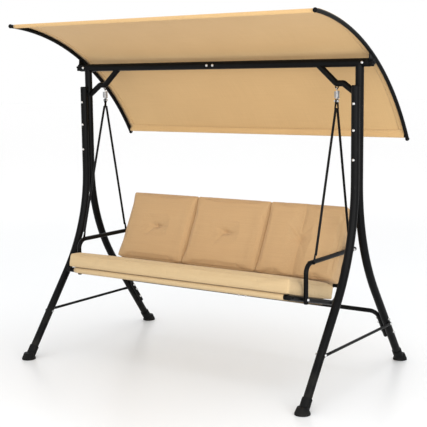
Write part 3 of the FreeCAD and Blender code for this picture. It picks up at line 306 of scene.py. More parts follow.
def slubs(cloth, where, pitch, along):
    """Thread by thread unevenness: noise stretched along one thread direction."""
    across = 0.35 / pitch
    stretch = [across, across, across]
    stretch[along] = across * 0.02
    sockets = {"Vector": where, "Scale": tuple(stretch)}
    return cloth.noise(cloth.add("ShaderNodeMapping", sockets), 1.0, 1.0)


def make_fabric(name, pitch, pale, dark, kind="Object", lean=0, rough=0.82, relief=0.35 * MM):
    cloth = Finish(name)
    where = cloth.place(kind, lean=lean)
    waves = [(axis * (TAU / pitch)).math("SINE") for axis in cloth.parts(where)]
    if kind == "UV":
        threads = waves[0] * waves[1]
    else:
        threads = waves[0] * waves[1] + waves[1] * waves[2] + waves[0] * waves[2]
    warp = slubs(cloth, where, pitch, 1)
    weft = slubs(cloth, where, pitch, 0)
    cloud = cloth.noise(where, 5.5, 3)
    fuzz = cloth.noise(where, 2200, 2)
    share = threads * 0.10 + warp * 0.45 + weft * 0.45 + cloud * 0.30 - 0.10
    colour = cloth.colour(share, dark, pale)
    height = threads * 0.30 + warp * 0.35 + weft * 0.35 + fuzz * 0.25
    return cloth.surface(
        height,
        relief,
        Base_Color=colour,
        Roughness=rough + fuzz * 0.12,
        Sheen_Weight=0.12,
        Sheen_Roughness=0.45,
        Specular_IOR_Level=0.25,
    )


canopy_cloth = make_fabric(
    "canopy_cloth", 1.3 * MM, CANOPY_TONE_AND_PAINTED_LIGHT_PALE, CANOPY_TONE_AND_PAINTED_LIGHT_DARK, "UV", rough=0.74, relief=0.22 * MM
)
sling_cloth = make_fabric("sling_cloth", 2.0 * MM, CREAM_PALE, CREAM_DARK, "UV")
seat_cloth = make_fabric("seat_cloth", 1.6 * MM, CREAM_PALE, CREAM_DARK, lean=SEAT_TILT)
back_cloth = make_fabric("back_cloth", 1.6 * MM, BEIGE_PALE, BEIGE_DARK, lean=BACK_LEAN)
print("made", canopy_cloth.name, sling_cloth.name, seat_cloth.name, back_cloth.name)

# %% [markdown]
# ## Thread
#
# Seams are sewn with thread that is thicker than the cloth's own, in two twisted plies. Slanting
# stripes stand for the twist.

# %% Thread
TWIST_PITCH = 1.1 * MM
TWIST_DEEP = 0.2 * MM


def make_thread():
    thread = Finish("sewing_thread")
    where = thread.place()
    x, y, z = thread.parts(where)
    twist = ((x + y + z) * (TAU / TWIST_PITCH)).math("SINE") * 0.5 + 0.5
    colour = thread.colour(twist, (0.42, 0.27, 0.13), (0.70, 0.50, 0.28))
    rough = 0.62 + twist * 0.1
    return thread.surface(twist, TWIST_DEEP, Base_Color=colour, Roughness=rough)


thread = make_thread()
print("made", thread.name)

# %% [markdown]
# ## Which part has which finish
#
# The frame's parts keep their shapes, and only their material slots are filled. The names say
# what each is made of.

# %% Dress the frame
PLASTIC_WORDS = ("foot_", "caps", "plug", "knob")
BLACK_FASTENERS = ("rail_screws", "rod_bolts")
ZINC_WORDS = ("bolts", "nuts")


def finish_of(node):
    if any(word in node for word in PLASTIC_WORDS):
        return plastic
    if node in BLACK_FASTENERS:
        return powder_coat
    if any(word in node for word in ZINC_WORDS):
        return zinc
    if node.startswith("spring_"):
        return spring_wire
    return powder_coat


for name, part in frame["nodes"].items():
    part.data.materials.clear()
    part.data.materials.append(finish_of(name))
print("dressed", len(frame["nodes"]), "parts")

# %% [markdown]
# ## From bmesh to a piece
#
# Each soft piece is shaped as a bmesh, Blender's editable mesh, and then becomes an object. Its
# place is put into the mesh itself, so the object stays at the origin. `attach` ties it to the
# body that it moves with.

# %% A bmesh becomes a piece


def to_mesh(bm, name):
    mesh = bpy.data.meshes.new(name)
    bm.to_mesh(mesh)
    bm.free()
    return mesh


def add_object(name, data):
    """A new object in the scene, at the origin."""
    thing = bpy.data.objects.new(name, data)
    bpy.context.scene.collection.objects.link(thing)
    return thing


def as_piece(bm, name, material, body, axes, smooth=True):
    bmesh.ops.transform(bm, matrix=axes, verts=bm.verts)
    return mesh_piece(to_mesh(bm, name), name, material, body, smooth)


def mesh_piece(mesh, name, material, body, smooth=True):
    mesh.materials.clear()
    mesh.materials.append(material)
    mesh.polygons.foreach_set("use_smooth", [smooth] * len(mesh.polygons))
    piece = add_object(name, mesh)
    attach(piece, body)
    return piece


def thicken(piece, thick):
    """Gives a sheet its thickness, half on each side."""
    wall = piece.modifiers.new("thickness", "SOLIDIFY")
    wall.thickness = thick
    wall.offset = 0
    wall.use_even_offset = True
    return piece


print("piece helpers are ready")

# %% [markdown]
# ## A grid that follows a rule
#
# A cloth starts as a flat grid. Each of its points has two numbers, across and along, and a rule
# says where that point goes. The same two numbers, in metres, are the cloth's UV map, so the
# weave is as large at the hem as in the middle.

# %% Cloth from a grid


def cloth_grid(columns, rows, rule, size, closed=False):
    """A grid of cloth. rule(a, b) gives the place of the point at a across and b along, 0 to 1."""
    bm = bmesh.new()
    bmesh.ops.create_grid(bm, x_segments=columns, y_segments=rows, size=0.5)
    layer = bm.loops.layers.uv.new("UVMap")
    for face in bm.faces:
        for loop in face.loops:
            a, b = loop.vert.co.x + 0.5, loop.vert.co.y + 0.5
            loop[layer].uv = (a * size[0], b * size[1])
    for vert in bm.verts:
        vert.co = rule(vert.co.x + 0.5, vert.co.y + 0.5)
    if closed:
        bmesh.ops.remove_doubles(bm, verts=bm.verts, dist=1e-6)
    return bm


def length_of(points):
    return sum((b - a).length for a, b in zip(points, points[1:]))


def along(points, share):
    """The point at that share of a line's length."""
    left = share * length_of(points)
    for a, b in zip(points, points[1:]):
        step = (b - a).length
        if left <= step:
            return a.lerp(b, left / step if step else 0)
        left -= step
    return points[-1].copy()


print("cloth helpers are ready")

# %% [markdown]
# ## The canopy cloth
#
# One sheet of cloth lies on the two bent arcs and ends in a sleeve round each cross tube. It
# could be drawn as a part of a cylinder, but cloth that is held at its four edges sags a little
# between them, and puckers where it is pulled. So each point is placed by its angle round the
# arcs' centre and its distance from it, and the distance is made smaller towards the middle.

# %% The canopy's axes
CANOPY_TILT = math.radians(31.5)
ARC_RADIUS = 1203 * MM
ARC_RISE = 42 * MM
ARC_DIA = 19 * MM
pivot = next(Vector(j["pos_m"]) for j in frame["joints"] if j["name"] == "canopy_tilt")
canopy_axes = Matrix.Translation(pivot) @ Matrix.Rotation(-CANOPY_TILT, 4, "X")
arc_centre = Vector((0, 0, ARC_RISE - ARC_RADIUS))
arc_x = middle("canopy_arc_right").x
front_tube = canopy_axes.inverted() @ middle("canopy_front_tube") - arc_centre
HEM_ANGLE = abs(math.atan2(front_tube.y, front_tube.z))
print("hem tube at", round(math.degrees(HEM_ANGLE), 2), "degrees")

# %% Sag and puckers
CLOTH_THICK = 1.2 * MM
CLOTH_RADIUS = ARC_RADIUS + ARC_DIA / 2 + 1.0 * MM
CLOTH_HALF = arc_x + 1 * MM
SLEEVE_HALF = 0.8725
CANOPY_SAG = 13 * MM
SIDE_PUCKER = 1.3 * MM
END_PUCKER = 1.1 * MM


def cloth_radius(x, angle):
    """How far the cloth is from the arcs' centre."""
    across = min(abs(x) / (arc_x - 12 * MM), 1.0)
    round_share = min(abs(angle) / HEM_ANGLE, 1.0)
    held = (1 - across**2) * (1 - round_share**4)
    pucker = math.sin(angle * 46 + 0.8 * math.sin(x * 5)) * math.exp(-(1 - across) * 9)
    fold = math.sin(x * 31 + 1.7 * math.sin(x * 4.1)) * math.exp(-(1 - round_share) * 11)
    ripple = SIDE_PUCKER * pucker * (1 - across) * 6 * (1 - round_share**6)
    ripple += END_PUCKER * fold * (1 - round_share) * 7 * (1 - across**8)
    return CLOTH_RADIUS - CANOPY_SAG * held + ripple


def canopy_point(x, angle, lift=0.0):
    radius = cloth_radius(x, angle) + lift
    return arc_centre + Vector((x, radius * math.sin(angle), radius * math.cos(angle)))


print("sag in the middle:", round(cloth_radius(0, 0) - CLOTH_RADIUS, 4))

# %% The sleeve's section
TUBE_DIA = 16 * MM
SLEEVE_RADIUS = TUBE_DIA / 2 + 1.3 * MM
SLEEVE_TURN = math.radians(16.5)
SEWN_AT = 24 * MM
SEAM_ALLOWANCE = 7 * MM
SEAM_LIFT = CLOTH_RADIUS - ARC_RADIUS - 1.6 * MM
OPEN_SHORT = 12 * MM


def sleeve_section():
    """Points round the tube, as (outwards along the cloth, away from the centre)."""
    points = []
    for turn in range(15):
        angle = math.pi / 2 - turn * SLEEVE_TURN
        points.append((SLEEVE_RADIUS * math.cos(angle), SLEEVE_RADIUS * math.sin(angle)))
    points.append((-SEWN_AT * 0.72, SEAM_LIFT - CLOTH_THICK))
    points.append((-SEWN_AT, SEAM_LIFT))
    points.append((-SEWN_AT - SEAM_ALLOWANCE, SEAM_LIFT))
    return points


def section_line():
    """The section from one sewn edge to the other, as (angle, radius).

    The radius is None where the cloth is free, as it then depends on the place across.
    """
    open_angle = HEM_ANGLE - OPEN_SHORT / ARC_RADIUS
    line = [(open_angle * (step / 40 - 1), None) for step in range(81)]
    ends = [(HEM_ANGLE + out / ARC_RADIUS, ARC_RADIUS + up) for out, up in sleeve_section()]
    front = [(-angle, radius) for angle, radius in reversed(ends)]
    return front + line + ends


section = section_line()
print("section points:", len(section))

# %% Make the canopy cloth
COLUMNS = 96


def section_point(index, across):
    angle, radius = section[index]
    if radius is None:
        return canopy_point((across * 2 - 1) * CLOTH_HALF, angle)
    x = (across * 2 - 1) * SLEEVE_HALF
    return arc_centre + Vector((x, radius * math.sin(angle), radius * math.cos(angle)))


def canopy_rule(a, b):
    return section_point(round(b * (len(section) - 1)), a)


middle_line = [section_point(i, 0.5) for i in range(len(section))]
canopy_flat = (2 * CLOTH_HALF, length_of(middle_line))
bm = cloth_grid(COLUMNS, len(section) - 1, canopy_rule, canopy_flat)
canopy_sheet = as_piece(bm, "canopy_sheet", canopy_cloth, "canopy", canopy_axes)
thicken(canopy_sheet, CLOTH_THICK)
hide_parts("canopy_fabric")
print("canopy cloth, flat:", [round(v, 3) for v in canopy_flat])

# %% [markdown]
# ## Stitches
#
# A lockstitch shows as a row of short dashes, each sunk at both ends. One stitch is a thin bar
# with six sides, as there are many hundreds. It is made at the origin, and each copy is moved to
# its place on the line, turned so that it lies along the line and against the cloth.

# %% Sew a line
STITCH = 4.6 * MM
THREAD_DIA = 0.9 * MM
STITCH_LIFT = 0.8 * MM


def one_stitch():
    """A stitch along Z, one metre long and thick until it is scaled, with its ends sunk."""
    bm = bmesh.new()
    bmesh.ops.create_cone(bm, cap_ends=True, segments=6, radius1=0.5, radius2=0.5, depth=1)
    sides = [e for e in bm.edges if abs(e.verts[0].co.z - e.verts[1].co.z) > 0.5]
    bmesh.ops.subdivide_edges(bm, edges=sides, cuts=3)
    for vert in bm.verts:
        vert.co.y += 0.2 - 2.4 * vert.co.z**2
    return to_mesh(bm, "stitch")


stitch_mesh = one_stitch()


def sew(bm, points, normals):
    """Adds stitches along a line. normals says which way is out of the cloth at each point."""
    count = max(2, int(length_of(points) / STITCH))
    for number in range(count):
        start = along(points, (number + 0.14) / count)
        end = along(points, (number + 0.86) / count)
        out = normals[min(int(number / count * len(normals)), len(normals) - 1)]
        ahead = (end - start).normalized()
        side = out.cross(ahead).normalized()
        turn = Matrix((side, ahead.cross(side), ahead)).transposed().to_4x4()
        size = Matrix.Diagonal((THREAD_DIA, THREAD_DIA, (end - start).length, 1))
        copy = stitch_mesh.copy()
        copy.transform(Matrix.Translation((start + end) / 2) @ turn @ size)
        bm.from_mesh(copy)
        bpy.data.meshes.remove(copy)
    return count


print("a stitch is", STITCH, "m long")

# %% Hems of the canopy
HEM_WIDE = 26 * MM
HEM_INNER = arc_x - ARC_DIA / 2 - 4 * MM
HEM_DROP = 1.15 * MM
HEM_THICK = 0.9 * MM
HEM_SHORT = 30 * MM
STITCH_INSET = 3.5 * MM


def side_hem(side):
    """The turned-in edge of the cloth, under it, beside each arc."""

    def rule(a, b):
        x = side * (HEM_INNER - HEM_WIDE * (1 - a))
        angle = (b * 2 - 1) * (HEM_ANGLE - HEM_SHORT / ARC_RADIUS)
        return canopy_point(x, angle, -HEM_DROP)

    size = (HEM_WIDE, 2 * HEM_ANGLE * ARC_RADIUS)
    bm = cloth_grid(4, 90, rule, size)
    if side < 0:
        bmesh.ops.reverse_faces(bm, faces=bm.faces)
    name = "canopy_side_hem_" + ("right" if side > 0 else "left")
    hem = as_piece(bm, name, canopy_cloth, "canopy", canopy_axes)
    return thicken(hem, HEM_THICK)


def hem_lines():
    """The stitch lines of the canopy, as points and the way out of the cloth at each."""
    lines = []
    turns = [(k / 60 * 2 - 1) * (HEM_ANGLE - (HEM_SHORT + 2 * MM) / ARC_RADIUS) for k in range(61)]
    for side in (-1, 1):
        for inset in (STITCH_INSET, HEM_WIDE - STITCH_INSET):
            x = side * (HEM_INNER - HEM_WIDE + inset)
            for lift, out in ((STITCH_LIFT, 1), (-HEM_DROP - 0.6 * MM, -1)):
                points = [canopy_point(x, angle, lift) for angle in turns]
                away = [Vector((0, math.sin(t), math.cos(t))) * out for t in turns]
                lines.append((points, away))
    for side in (-1, 1):
        for inset in (SEWN_AT, SEWN_AT + 4.5 * MM):
            angle = side * (HEM_ANGLE - inset / ARC_RADIUS)
            away = Vector((0, math.sin(angle), math.cos(angle)))
            for lift, out in ((STITCH_LIFT, 1), (-2.2 * MM, -1)):
                spots = [(k / 40 * 2 - 1) * (SLEEVE_HALF - 4 * MM) for k in range(41)]
                points = [canopy_point(x, angle, lift) for x in spots]
                lines.append((points, [away * out]))
    return lines


canopy_hems = [side_hem(-1), side_hem(1)]
bm = bmesh.new()
sewn = sum(sew(bm, points, away) for points, away in hem_lines())
canopy_stitches = as_piece(
    bm, "canopy_stitches", thread, "canopy", canopy_axes, smooth=False
)
print("canopy stitches:", sewn)

# %% [markdown]
# ## The slings
#
# The seat and the backrest each have a loop of cloth, sewn into a sleeve and stretched over two
# rails. The cushions lie on it. The side that carries them sags into a shallow trough, and the
# slack side hangs a little.

# %% Make a sling
SLING_HALF = 1275.3 * MM / 2
SLING_RADIUS = RAIL_DIA / 2 + 1.2 * MM
SLING_THICK = 1.4 * MM
SLING_SAG = 7 * MM
SLACK_SAG = 3 * MM


def trough(share, deep):
    """How far a sling hangs below its rails at that share of the way between them."""
    return deep * math.sin(math.pi * share) ** 0.8


def round_rail(y, start, steps):
    """Points on the cloth where it goes round a rail, clockwise from a start in degrees."""
    turns = [math.radians(start - 15 * step) for step in range(1, steps + 1)]
    ys = [y + SLING_RADIUS * math.cos(turn) for turn in turns]
    return [Vector((0, y, SLING_RADIUS * math.sin(turn))) for y, turn in zip(ys, turns)]


def sling_line(first, span):
    """The loop's section in flat axes: over the rails, and back under them."""
    upper, lower = [], []
    for step in range(31):
        share = step / 30
        upper.append(Vector((0, first + span * share, SLING_RADIUS - trough(share, SLING_SAG))))
        share = 1 - step / 30
        lower.append(Vector((0, first + span * share, -SLING_RADIUS - trough(share, SLACK_SAG))))
    return upper + round_rail(first + span, 90, 11) + lower + round_rail(first, 270, 12)


def make_sling(name, node, first, span, axes):
    line = sling_line(first, span)
    flat = (2 * SLING_HALF, length_of(line))

    def rule(a, b):
        point = line[round(b * (len(line) - 1))].copy()
        point.x = (a * 2 - 1) * SLING_HALF
        return point

    bm = cloth_grid(48, len(line) - 1, rule, flat, closed=True)
    bmesh.ops.recalc_face_normals(bm, faces=bm.faces)
    piece = as_piece(bm, name, sling_cloth, "seat", axes)
    thicken(piece, SLING_THICK)
    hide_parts(node)
    bm = bmesh.new()
    for side in (-1, 1):
        for inset in (9 * MM, 13 * MM):
            for out in (-1, 1):
                shift = Vector((side * (SLING_HALF - inset), 0, out * STITCH_LIFT))
                points = [p + shift for p in line if p.z * out > SLING_RADIUS - 12 * MM]
                sew(bm, points, [Vector((0, 0, out))])
    stitches = as_piece(bm, name + "_stitches", thread, "seat", axes, smooth=False)
    print(name, "flat:", [round(v, 3) for v in flat])


# %% Slings of the seat and the backrest
SEAT_SPAN = 378 * MM
BACK_FIRST = 92 * MM
BACK_SPAN = 374 * MM
back_flat_axes = back_axes @ Matrix.Rotation(math.radians(90), 4, "X")
make_sling("seat_sling_cloth", "seat_sling", 0, SEAT_SPAN, seat_axes)
make_sling("back_sling_cloth", "back_sling", BACK_FIRST, BACK_SPAN, back_flat_axes)

# %% [markdown]
# ## Stuffed cushions
#
# A cushion is a fabric case that is a little too small for its filling. The filling pushes every
# face out into a crown, and the sides are pulled in between the corners. Blender's cloth
# simulation does the same: the case is remeshed into even squares and blown up by a gentle
# pressure, with gravity off, and then it is frozen. A tack near the middle of each back cushion
# holds the case in while it is blown up. The creases round the tack are pressed in afterwards,
# as the pressure would smooth them out.

# %% The block that a cushion starts from


def block(low, high, rounding):
    """A box with rounded edges, as a mesh."""
    bm = bmesh.new()
    bmesh.ops.create_cube(bm, size=1)
    size = Vector(high) - Vector(low)
    bmesh.ops.scale(bm, vec=size, verts=bm.verts)
    bmesh.ops.translate(bm, vec=(Vector(low) + Vector(high)) / 2, verts=bm.verts)
    bmesh.ops.bevel(
        bm, geom=bm.edges[:], offset=rounding, segments=3, profile=0.5, affect="EDGES", material=-1
    )
    return to_mesh(bm, "block")


def evaluated(piece):
    """The mesh with its modifiers applied."""
    graph = bpy.context.evaluated_depsgraph_get()
    return bpy.data.meshes.new_from_object(piece.evaluated_get(graph))


def remeshed(mesh, voxel):
    """The mesh again, in even squares."""
    holder = add_object("holder", mesh)
    even = holder.modifiers.new("even", "REMESH")
    even.mode = "VOXEL"
    even.voxel_size = voxel
    result = evaluated(holder)
    bpy.data.objects.remove(holder)
    return result


print("cushion helpers are ready")

# %% Blow a cushion up
PRESSURE = 1.2
FRAMES = 20
BLOCK_ROUNDING = 8 * MM


def inflate(mesh, pinned, cap, stretch):
    """Cloth under pressure. Each point moves at most cap metres, and pinned points stay."""
    rest = [v.co.copy() for v in mesh.vertices]
    holder = add_object("holder", mesh)
    group = holder.vertex_groups.new(name="pinned")
    group.add(pinned, 1.0, "REPLACE")
    cloth = holder.modifiers.new("cloth", "CLOTH")
    cloth.settings.quality = 5
    cloth.settings.mass = 0.3
    cloth.settings.tension_stiffness = 12
    cloth.settings.compression_stiffness = 12
    cloth.settings.shear_stiffness = 4
    cloth.settings.bending_stiffness = 0.15
    cloth.settings.use_pressure = True
    cloth.settings.uniform_pressure_force = PRESSURE
    cloth.settings.shrink_min = -stretch
    cloth.settings.vertex_group_mass = "pinned"
    cloth.settings.effector_weights.gravity = 0
    for number in range(1, FRAMES + 1):
        bpy.context.scene.frame_set(number)
    blown = evaluated(holder)
    for vert, start in zip(blown.vertices, rest):
        moved = vert.co - start
        if moved.length > cap:
            vert.co = start + moved * (cap / moved.length)
    bpy.data.objects.remove(holder)
    bpy.context.scene.frame_set(1)
    return blown


print("pressure", PRESSURE, "for", FRAMES, "frames")

# %% [markdown]
# ## The seat cushion
#
# One long foam slab in a sewn case. Foam keeps its shape, so it swells less than a stuffed pad:
# its front is nearly upright, with a soft edge along the top. It lies on the sling, and
# its underside follows the sling's trough.

# %% Make the seat cushion
SEAT_LOW = Vector((-673, -31, 15.3)) * MM
SEAT_HIGH = Vector((673, 424, 88.3)) * MM
SEAT_VOXEL = 7 * MM
SEAT_INSET = 4 * MM
SEAT_CROWN = 5 * MM
SEAT_WAIST = 2.5 * MM
SEAT_SWELL = 9 * MM


def make_seat_cushion():
    low = SEAT_LOW + Vector((SEAT_INSET, SEAT_INSET, 0))
    high = SEAT_HIGH - Vector((SEAT_INSET, SEAT_INSET, SEAT_INSET))
    mesh = remeshed(block(low, high, BLOCK_ROUNDING), SEAT_VOXEL)
    centre, half = (low + high) / 2, (high - low) / 2
    for vert in mesh.vertices:
        a, b, c = ((vert.co - centre)[i] / half[i] for i in range(3))
        vert.co.y -= math.copysign(SEAT_WAIST, b) * (1 - a * a) * abs(b) ** 3
        if c > 0:
            vert.co.z += SEAT_CROWN * c * (1 - a**8) * (1 - b**4)
    pins = [v.index for v in mesh.vertices if v.co.z < low.z + 4 * MM]
    mesh = inflate(mesh, pins, SEAT_SWELL, 0.004)
    for vert in mesh.vertices:
        vert.co.x = clamp(vert.co.x, SEAT_LOW.x - SEAT_INSET, SEAT_HIGH.x + SEAT_INSET)
        down = trough(clamp(vert.co.y / SEAT_SPAN, 0.0, 1.0), SLING_SAG)
        share = clamp((SEAT_HIGH.z - vert.co.z) / (SEAT_HIGH.z - SEAT_LOW.z), 0, 1)
        vert.co.z = max(vert.co.z, SEAT_LOW.z) - down * share
    return mesh


seat_mesh = make_seat_cushion()
print("seat cushion:", len(seat_mesh.polygons), "faces")

# %% [markdown]
# ## The back cushions
#
# Three stuffed cushions stand side by side and press on each other, so their sides are flat
# where they touch. Each has one tack near its middle. The pull of the tack makes a short level
# crease with a fold running down from one end. No two cushions crease alike.

# %% Make a back cushion
BACK_VOXEL = 5 * MM
BACK_FRONT = -111.3 * MM
BACK_REAR = -15.3 * MM
BACK_TOP = 474 * MM
SEAT_CLEAR = 3 * MM
BACK_CROWN = 4 * MM
BACK_SWELL = 6 * MM
HOLLOW_REACH = 26 * MM
CREASE_ABOVE, CREASE_BELOW = 6 * MM, 13 * MM
to_seat = seat_axes.inverted() @ back_axes


def back_underside(y):
    """Height, in the backrest's axes, at which a back cushion stands on the seat."""
    start = to_seat @ Vector((0, y, 0))
    rise = (to_seat @ Vector((0, y, 1))).z - start.z
    return (SEAT_HIGH.z + SEAT_CLEAR - start.z) / rise


def fold_depth(beside, above, folds):
    """How deep the folds that run from the tack are at a point beside and above it.

    A fold is steep above its bottom and gentle below it, as hanging cloth is.
    """
    deepest = 0.0
    for angle, length, deep in folds:
        ahead = beside * math.cos(angle) + above * math.sin(angle)
        off = above * math.cos(angle) - beside * math.sin(angle)
        share = ahead / length
        if 0 <= share <= 1:
            wide = CREASE_ABOVE if off > 0 else CREASE_BELOW
            deepest = max(deepest, deep * math.exp(-((off / wide) ** 2)) * (1 - share))
    return deepest


def make_back_cushion(left, right, out_left, out_right, tack, folds, valley):
    """One back cushion, which may bulge past its left and right.

    tack is (beside the middle, above it, half width, depth). Each fold is (angle, length,
    depth). valley is the depth of a soft upright hollow through the tack.
    """
    low = Vector((left + 0.6 * MM, BACK_FRONT + 5 * MM, back_underside(BACK_REAR)))
    high = Vector((right - 0.6 * MM, BACK_REAR - 1 * MM, BACK_TOP - 3 * MM))
    mesh = remeshed(block(low, high, BLOCK_ROUNDING), BACK_VOXEL)
    centre, half = (low + high) / 2, (high - low) / 2
    tack_at = Vector((centre.x + tack[0], 0, centre.z + tack[1]))
    pins = []
    for vert in mesh.vertices:
        a, b, c = ((vert.co - centre)[i] / half[i] for i in range(3))
        beside = vert.co.x - tack_at.x
        above = vert.co.z - tack_at.z
        if b < 0:
            crown = BACK_CROWN * (1 - a**8) * (1 - max(c, 0) ** 8)
            level = max(abs(beside) - tack[2], 0)
            dimple = tack[3] * math.exp(-(level**2 + (above * 1.6) ** 2) / HOLLOW_REACH**2)
            dent = valley * math.exp(-((beside / HOLLOW_REACH) ** 2)) * (1 - max(c, 0) ** 6)
            vert.co.y -= b * (dimple + dent - crown)
            if level == 0 and abs(above) < 4 * MM and b < -0.6:
                pins.append(vert.index)
        elif b > 0.9 and abs(a) < 0.8 and abs(c) < 0.8:
            pins.append(vert.index)
    mesh = inflate(mesh, pins, BACK_SWELL, 0.003)
    for vert in mesh.vertices:
        facing = max((centre.y - vert.co.y) / half.y, 0)
        beside, above = vert.co.x - tack_at.x, vert.co.z - tack_at.z
        vert.co.y += min(facing, 1) * fold_depth(beside, above, folds)
        vert.co.x = clamp(vert.co.x, left - out_left, right + out_right)
        vert.co.y = min(vert.co.y, BACK_REAR)
        vert.co.z = max(vert.co.z, back_underside(vert.co.y))
    return mesh


OUTER, INNER, HALF_GAP = 674 * MM, 232 * MM, 0.4 * MM
BULGE = 5 * MM
VALLEY = 17 * MM
LEFT_TACK = (-14 * MM, 4 * MM, 8 * MM, 12 * MM)
MIDDLE_TACK = (-8 * MM, 2 * MM, 8 * MM, 13 * MM)
RIGHT_TACK = (-8 * MM, 2 * MM, 6 * MM, 9 * MM)
LEFT_FOLDS = [(0.0, 95 * MM, 15 * MM), (4.1, 90 * MM, 9 * MM)]
MIDDLE_FOLDS = [(0.0, 100 * MM, 16 * MM), (4.2, 105 * MM, 9 * MM), (2.75, 120 * MM, 5 * MM)]
RIGHT_FOLDS = [(2.35, 130 * MM, 11 * MM), (5.2, 60 * MM, 6 * MM)]
back_meshes = {
    "left": make_back_cushion(-OUTER, -INNER - HALF_GAP, BULGE, 0, LEFT_TACK, LEFT_FOLDS, 0),
    "middle": make_back_cushion(
        -INNER + HALF_GAP, INNER - HALF_GAP, 0, 0, MIDDLE_TACK, MIDDLE_FOLDS, 0
    ),
    "right": make_back_cushion(INNER + HALF_GAP, OUTER, 0, BULGE, RIGHT_TACK, RIGHT_FOLDS, VALLEY),
}
print("back cushions:", [len(m.polygons) for m in back_meshes.values()], "faces")

# %% [markdown]
# ## Seams
#
# The case of a cushion is sewn from panels, and the seam stands up as a narrow welt. Its line is
# drawn round the block that the cushion started from, and each of its points is then moved to
# the nearest place on the blown-up case.

# %% Welts
WELT_DIA = 3.2 * MM


def tube_along(points, dia):
    """A closed tube that follows a closed line of points."""
    curve = bpy.data.curves.new("tube", "CURVE")
    curve.dimensions = "3D"
    curve.bevel_depth = dia / 2
    curve.bevel_resolution = 2
    spline = curve.splines.new("POLY")
    spline.points.add(len(points) - 1)
    for target, point in zip(spline.points, points):
        target.co = (*point, 1)
    spline.use_cyclic_u = True
    holder = add_object("tube", curve)
    mesh = evaluated(holder)
    bpy.data.objects.remove(holder)
    return mesh


def ring(low, high, rounding, step):
    """Points round a rectangle with rounded corners, given as two opposite corners in 2-D."""
    points = []
    corners = [
        (high[0], high[1], 0),
        (low[0], high[1], 90),
        (low[0], low[1], 180),
        (high[0], low[1], 270),
    ]
    for corner_x, corner_z, start in corners:
        inner_x = corner_x - math.copysign(rounding, corner_x - (low[0] + high[0]) / 2)
        inner_z = corner_z - math.copysign(rounding, corner_z - (low[1] + high[1]) / 2)
        for turn in range(0, 91, 15):
            angle = math.radians(start + turn)
            x = inner_x + rounding * math.cos(angle)
            z = inner_z + rounding * math.sin(angle)
            points.append(Vector((x, 0, z)))
    closed = points + points[:1]
    count = int(length_of(closed) / step)
    return [along(closed, k / count) for k in range(count)]


def welt(name, mesh, spots, material, axes):
    """A welt through the places on the cushion that are nearest to the spots."""
    tree = BVHTree.FromPolygons([v.co for v in mesh.vertices], [p.vertices for p in mesh.polygons])
    line = [tree.find_nearest(spot)[0] for spot in spots]
    for _ in range(3):
        count = len(line)
        line = [(line[k - 1] + line[k] * 2 + line[(k + 1) % count]) / 4 for k in range(count)]
    tube = tube_along(line, WELT_DIA)
    tube.transform(axes)
    return mesh_piece(tube, name, material, "seat")


print("welts are", WELT_DIA, "m thick")

# %% Place the cushions


def place_cushion(mesh, name, node, material, axes):
    mesh.transform(axes)
    piece = mesh_piece(mesh, name, material, "seat")
    finer = piece.modifiers.new("finer", "SUBSURF")
    finer.levels = finer.render_levels = 1
    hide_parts(node)
    return piece


def seat_welts():
    low, high = (SEAT_LOW.x, SEAT_LOW.y), (SEAT_HIGH.x, SEAT_HIGH.y)
    for label, z in (("upper", SEAT_HIGH.z + 2 * MM), ("lower", SEAT_LOW.z)):
        spots = [Vector((p.x, p.z, z)) for p in ring(low, high, 16 * MM, 7 * MM)]
        welt("seat_welt_" + label, seat_mesh, spots, seat_cloth, seat_axes)


def back_welts(side, mesh):
    left = min(v.co.x for v in mesh.vertices)
    right = max(v.co.x for v in mesh.vertices)
    for label, y in (("front", BACK_FRONT), ("rear", BACK_REAR)):
        low, high = (left, back_underside(y)), (right, BACK_TOP)
        spots = [Vector((p.x, y, p.z)) for p in ring(low, high, 18 * MM, 6 * MM)]
        welt(f"back_welt_{side}_{label}", mesh, spots, back_cloth, back_axes)


seat_welts()
for side, mesh in back_meshes.items():
    back_welts(side, mesh)
    place_cushion(
        mesh, f"back_cushion_cover_{side}", f"back_cushion_{side}", back_cloth, back_axes
    )
place_cushion(seat_mesh, "seat_cushion_cover", "seat_cushion", seat_cloth, seat_axes)
print("cushions are in place")

# %% [markdown]
# ## Floor, light and camera
#
# The bench stands on a plain pale floor, under large soft lights, as in a studio. The floor
# isn't part of the object.

# %% Floor and world
FLOOR_BELOW = 0.5 * MM


def make_floor():
    bm = bmesh.new()
    bmesh.ops.create_circle(bm, cap_ends=True, segments=96, radius=60)
    mesh = to_mesh(bm, "floor")
    pale = Finish("floor_painted_shade")
    where = pale.place()
    x, y, _ = pale.parts(where)
    cloud = pale.noise(where, 3, 3)
    # Painted shade: the floor's colour is greyer near the bench and pales to white far from it.
    # The noise adds a faint random tone.
    away = ((x * x + y * y) * 0.02 + cloud * 0.05).math("MINIMUM", 1.0)
    colour = pale.colour(away, (0.790, 0.803, 0.815), (1.0, 1.0, 1.0))
    mesh.materials.append(
        pale.surface(cloud, 0.0001, Base_Color=colour, Roughness=0.32 + cloud * 0.04)
    )
    floor = add_object("floor", mesh)
    floor.location.z = cad_box[0].z - FLOOR_BELOW


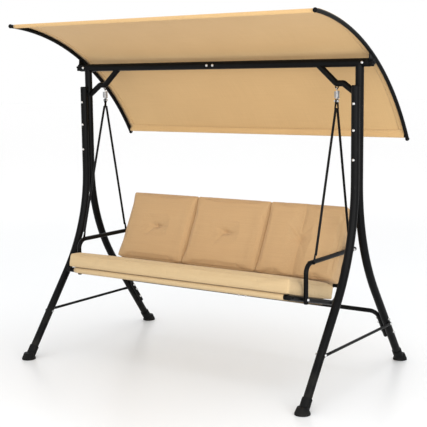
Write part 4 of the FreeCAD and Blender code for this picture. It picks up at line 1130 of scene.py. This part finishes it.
def make_world():
    world = bpy.data.worlds.new("studio")
    world.use_nodes = True
    back = world.node_tree.nodes["Background"]
    back.inputs["Color"].default_value = (1, 1, 1, 1)
    back.inputs["Strength"].default_value = 1.0
    bpy.context.scene.world = world


make_floor()
make_world()
bpy.context.scene.view_settings.view_transform = "Standard"
print("floor and world are ready")

# %% Lights


def softbox(name, place, aim, size, power):
    data = bpy.data.lights.new(name, "AREA")
    data.shape = "RECTANGLE"
    data.size, data.size_y = size
    data.energy = power
    light = add_object(name, data)
    light.location = place
    light.rotation_euler = (Vector(aim) - Vector(place)).to_track_quat("-Z", "Y").to_euler()


softbox("front_light", (1.6, -5.2, 2.4), (0, 0, 0.8), (4.0, 3.0), 105)
softbox("right_light", (3.6, -2.2, 1.4), (0, 0, 0.9), (2.4, 2.0), 55)
softbox("top_light", (0, 0.6, 5.0), (0, 0, 0), (4.0, 4.0), 60)
print("three soft lights")

# %% Camera
CAMERA_AT = Vector((2.9235, -4.2384, 1.4653))
YAW, PITCH, ROLL = 0.6015, 0.1337, -0.0114
LENS = 84.79


def make_camera():
    ahead = Vector(
        (-math.sin(YAW) * math.cos(PITCH), math.cos(YAW) * math.cos(PITCH), -math.sin(PITCH))
    )
    level = Vector((math.cos(YAW), math.sin(YAW), 0))
    upright = level.cross(ahead)
    right = level * math.cos(ROLL) + upright * math.sin(ROLL)
    up = upright * math.cos(ROLL) - level * math.sin(ROLL)
    data = bpy.data.cameras.new("camera")
    data.lens = LENS
    data.sensor_width = 36
    data.clip_end = 200
    camera = add_object("camera", data)
    turn = Matrix((right, up, -ahead)).transposed().to_4x4()
    camera.matrix_world = Matrix.Translation(CAMERA_AT) @ turn
    bpy.context.scene.camera = camera


make_camera()
print("camera at", [round(v, 3) for v in CAMERA_AT])

# %% [markdown]
# ## Sizes, and the end
#
# The soft pieces may stand a little proud of the frame. The frame's box is printed.

# %% Write the sizes and finish
print("cad box", [round(v, 4) for v in cad_box[1] - cad_box[0]])
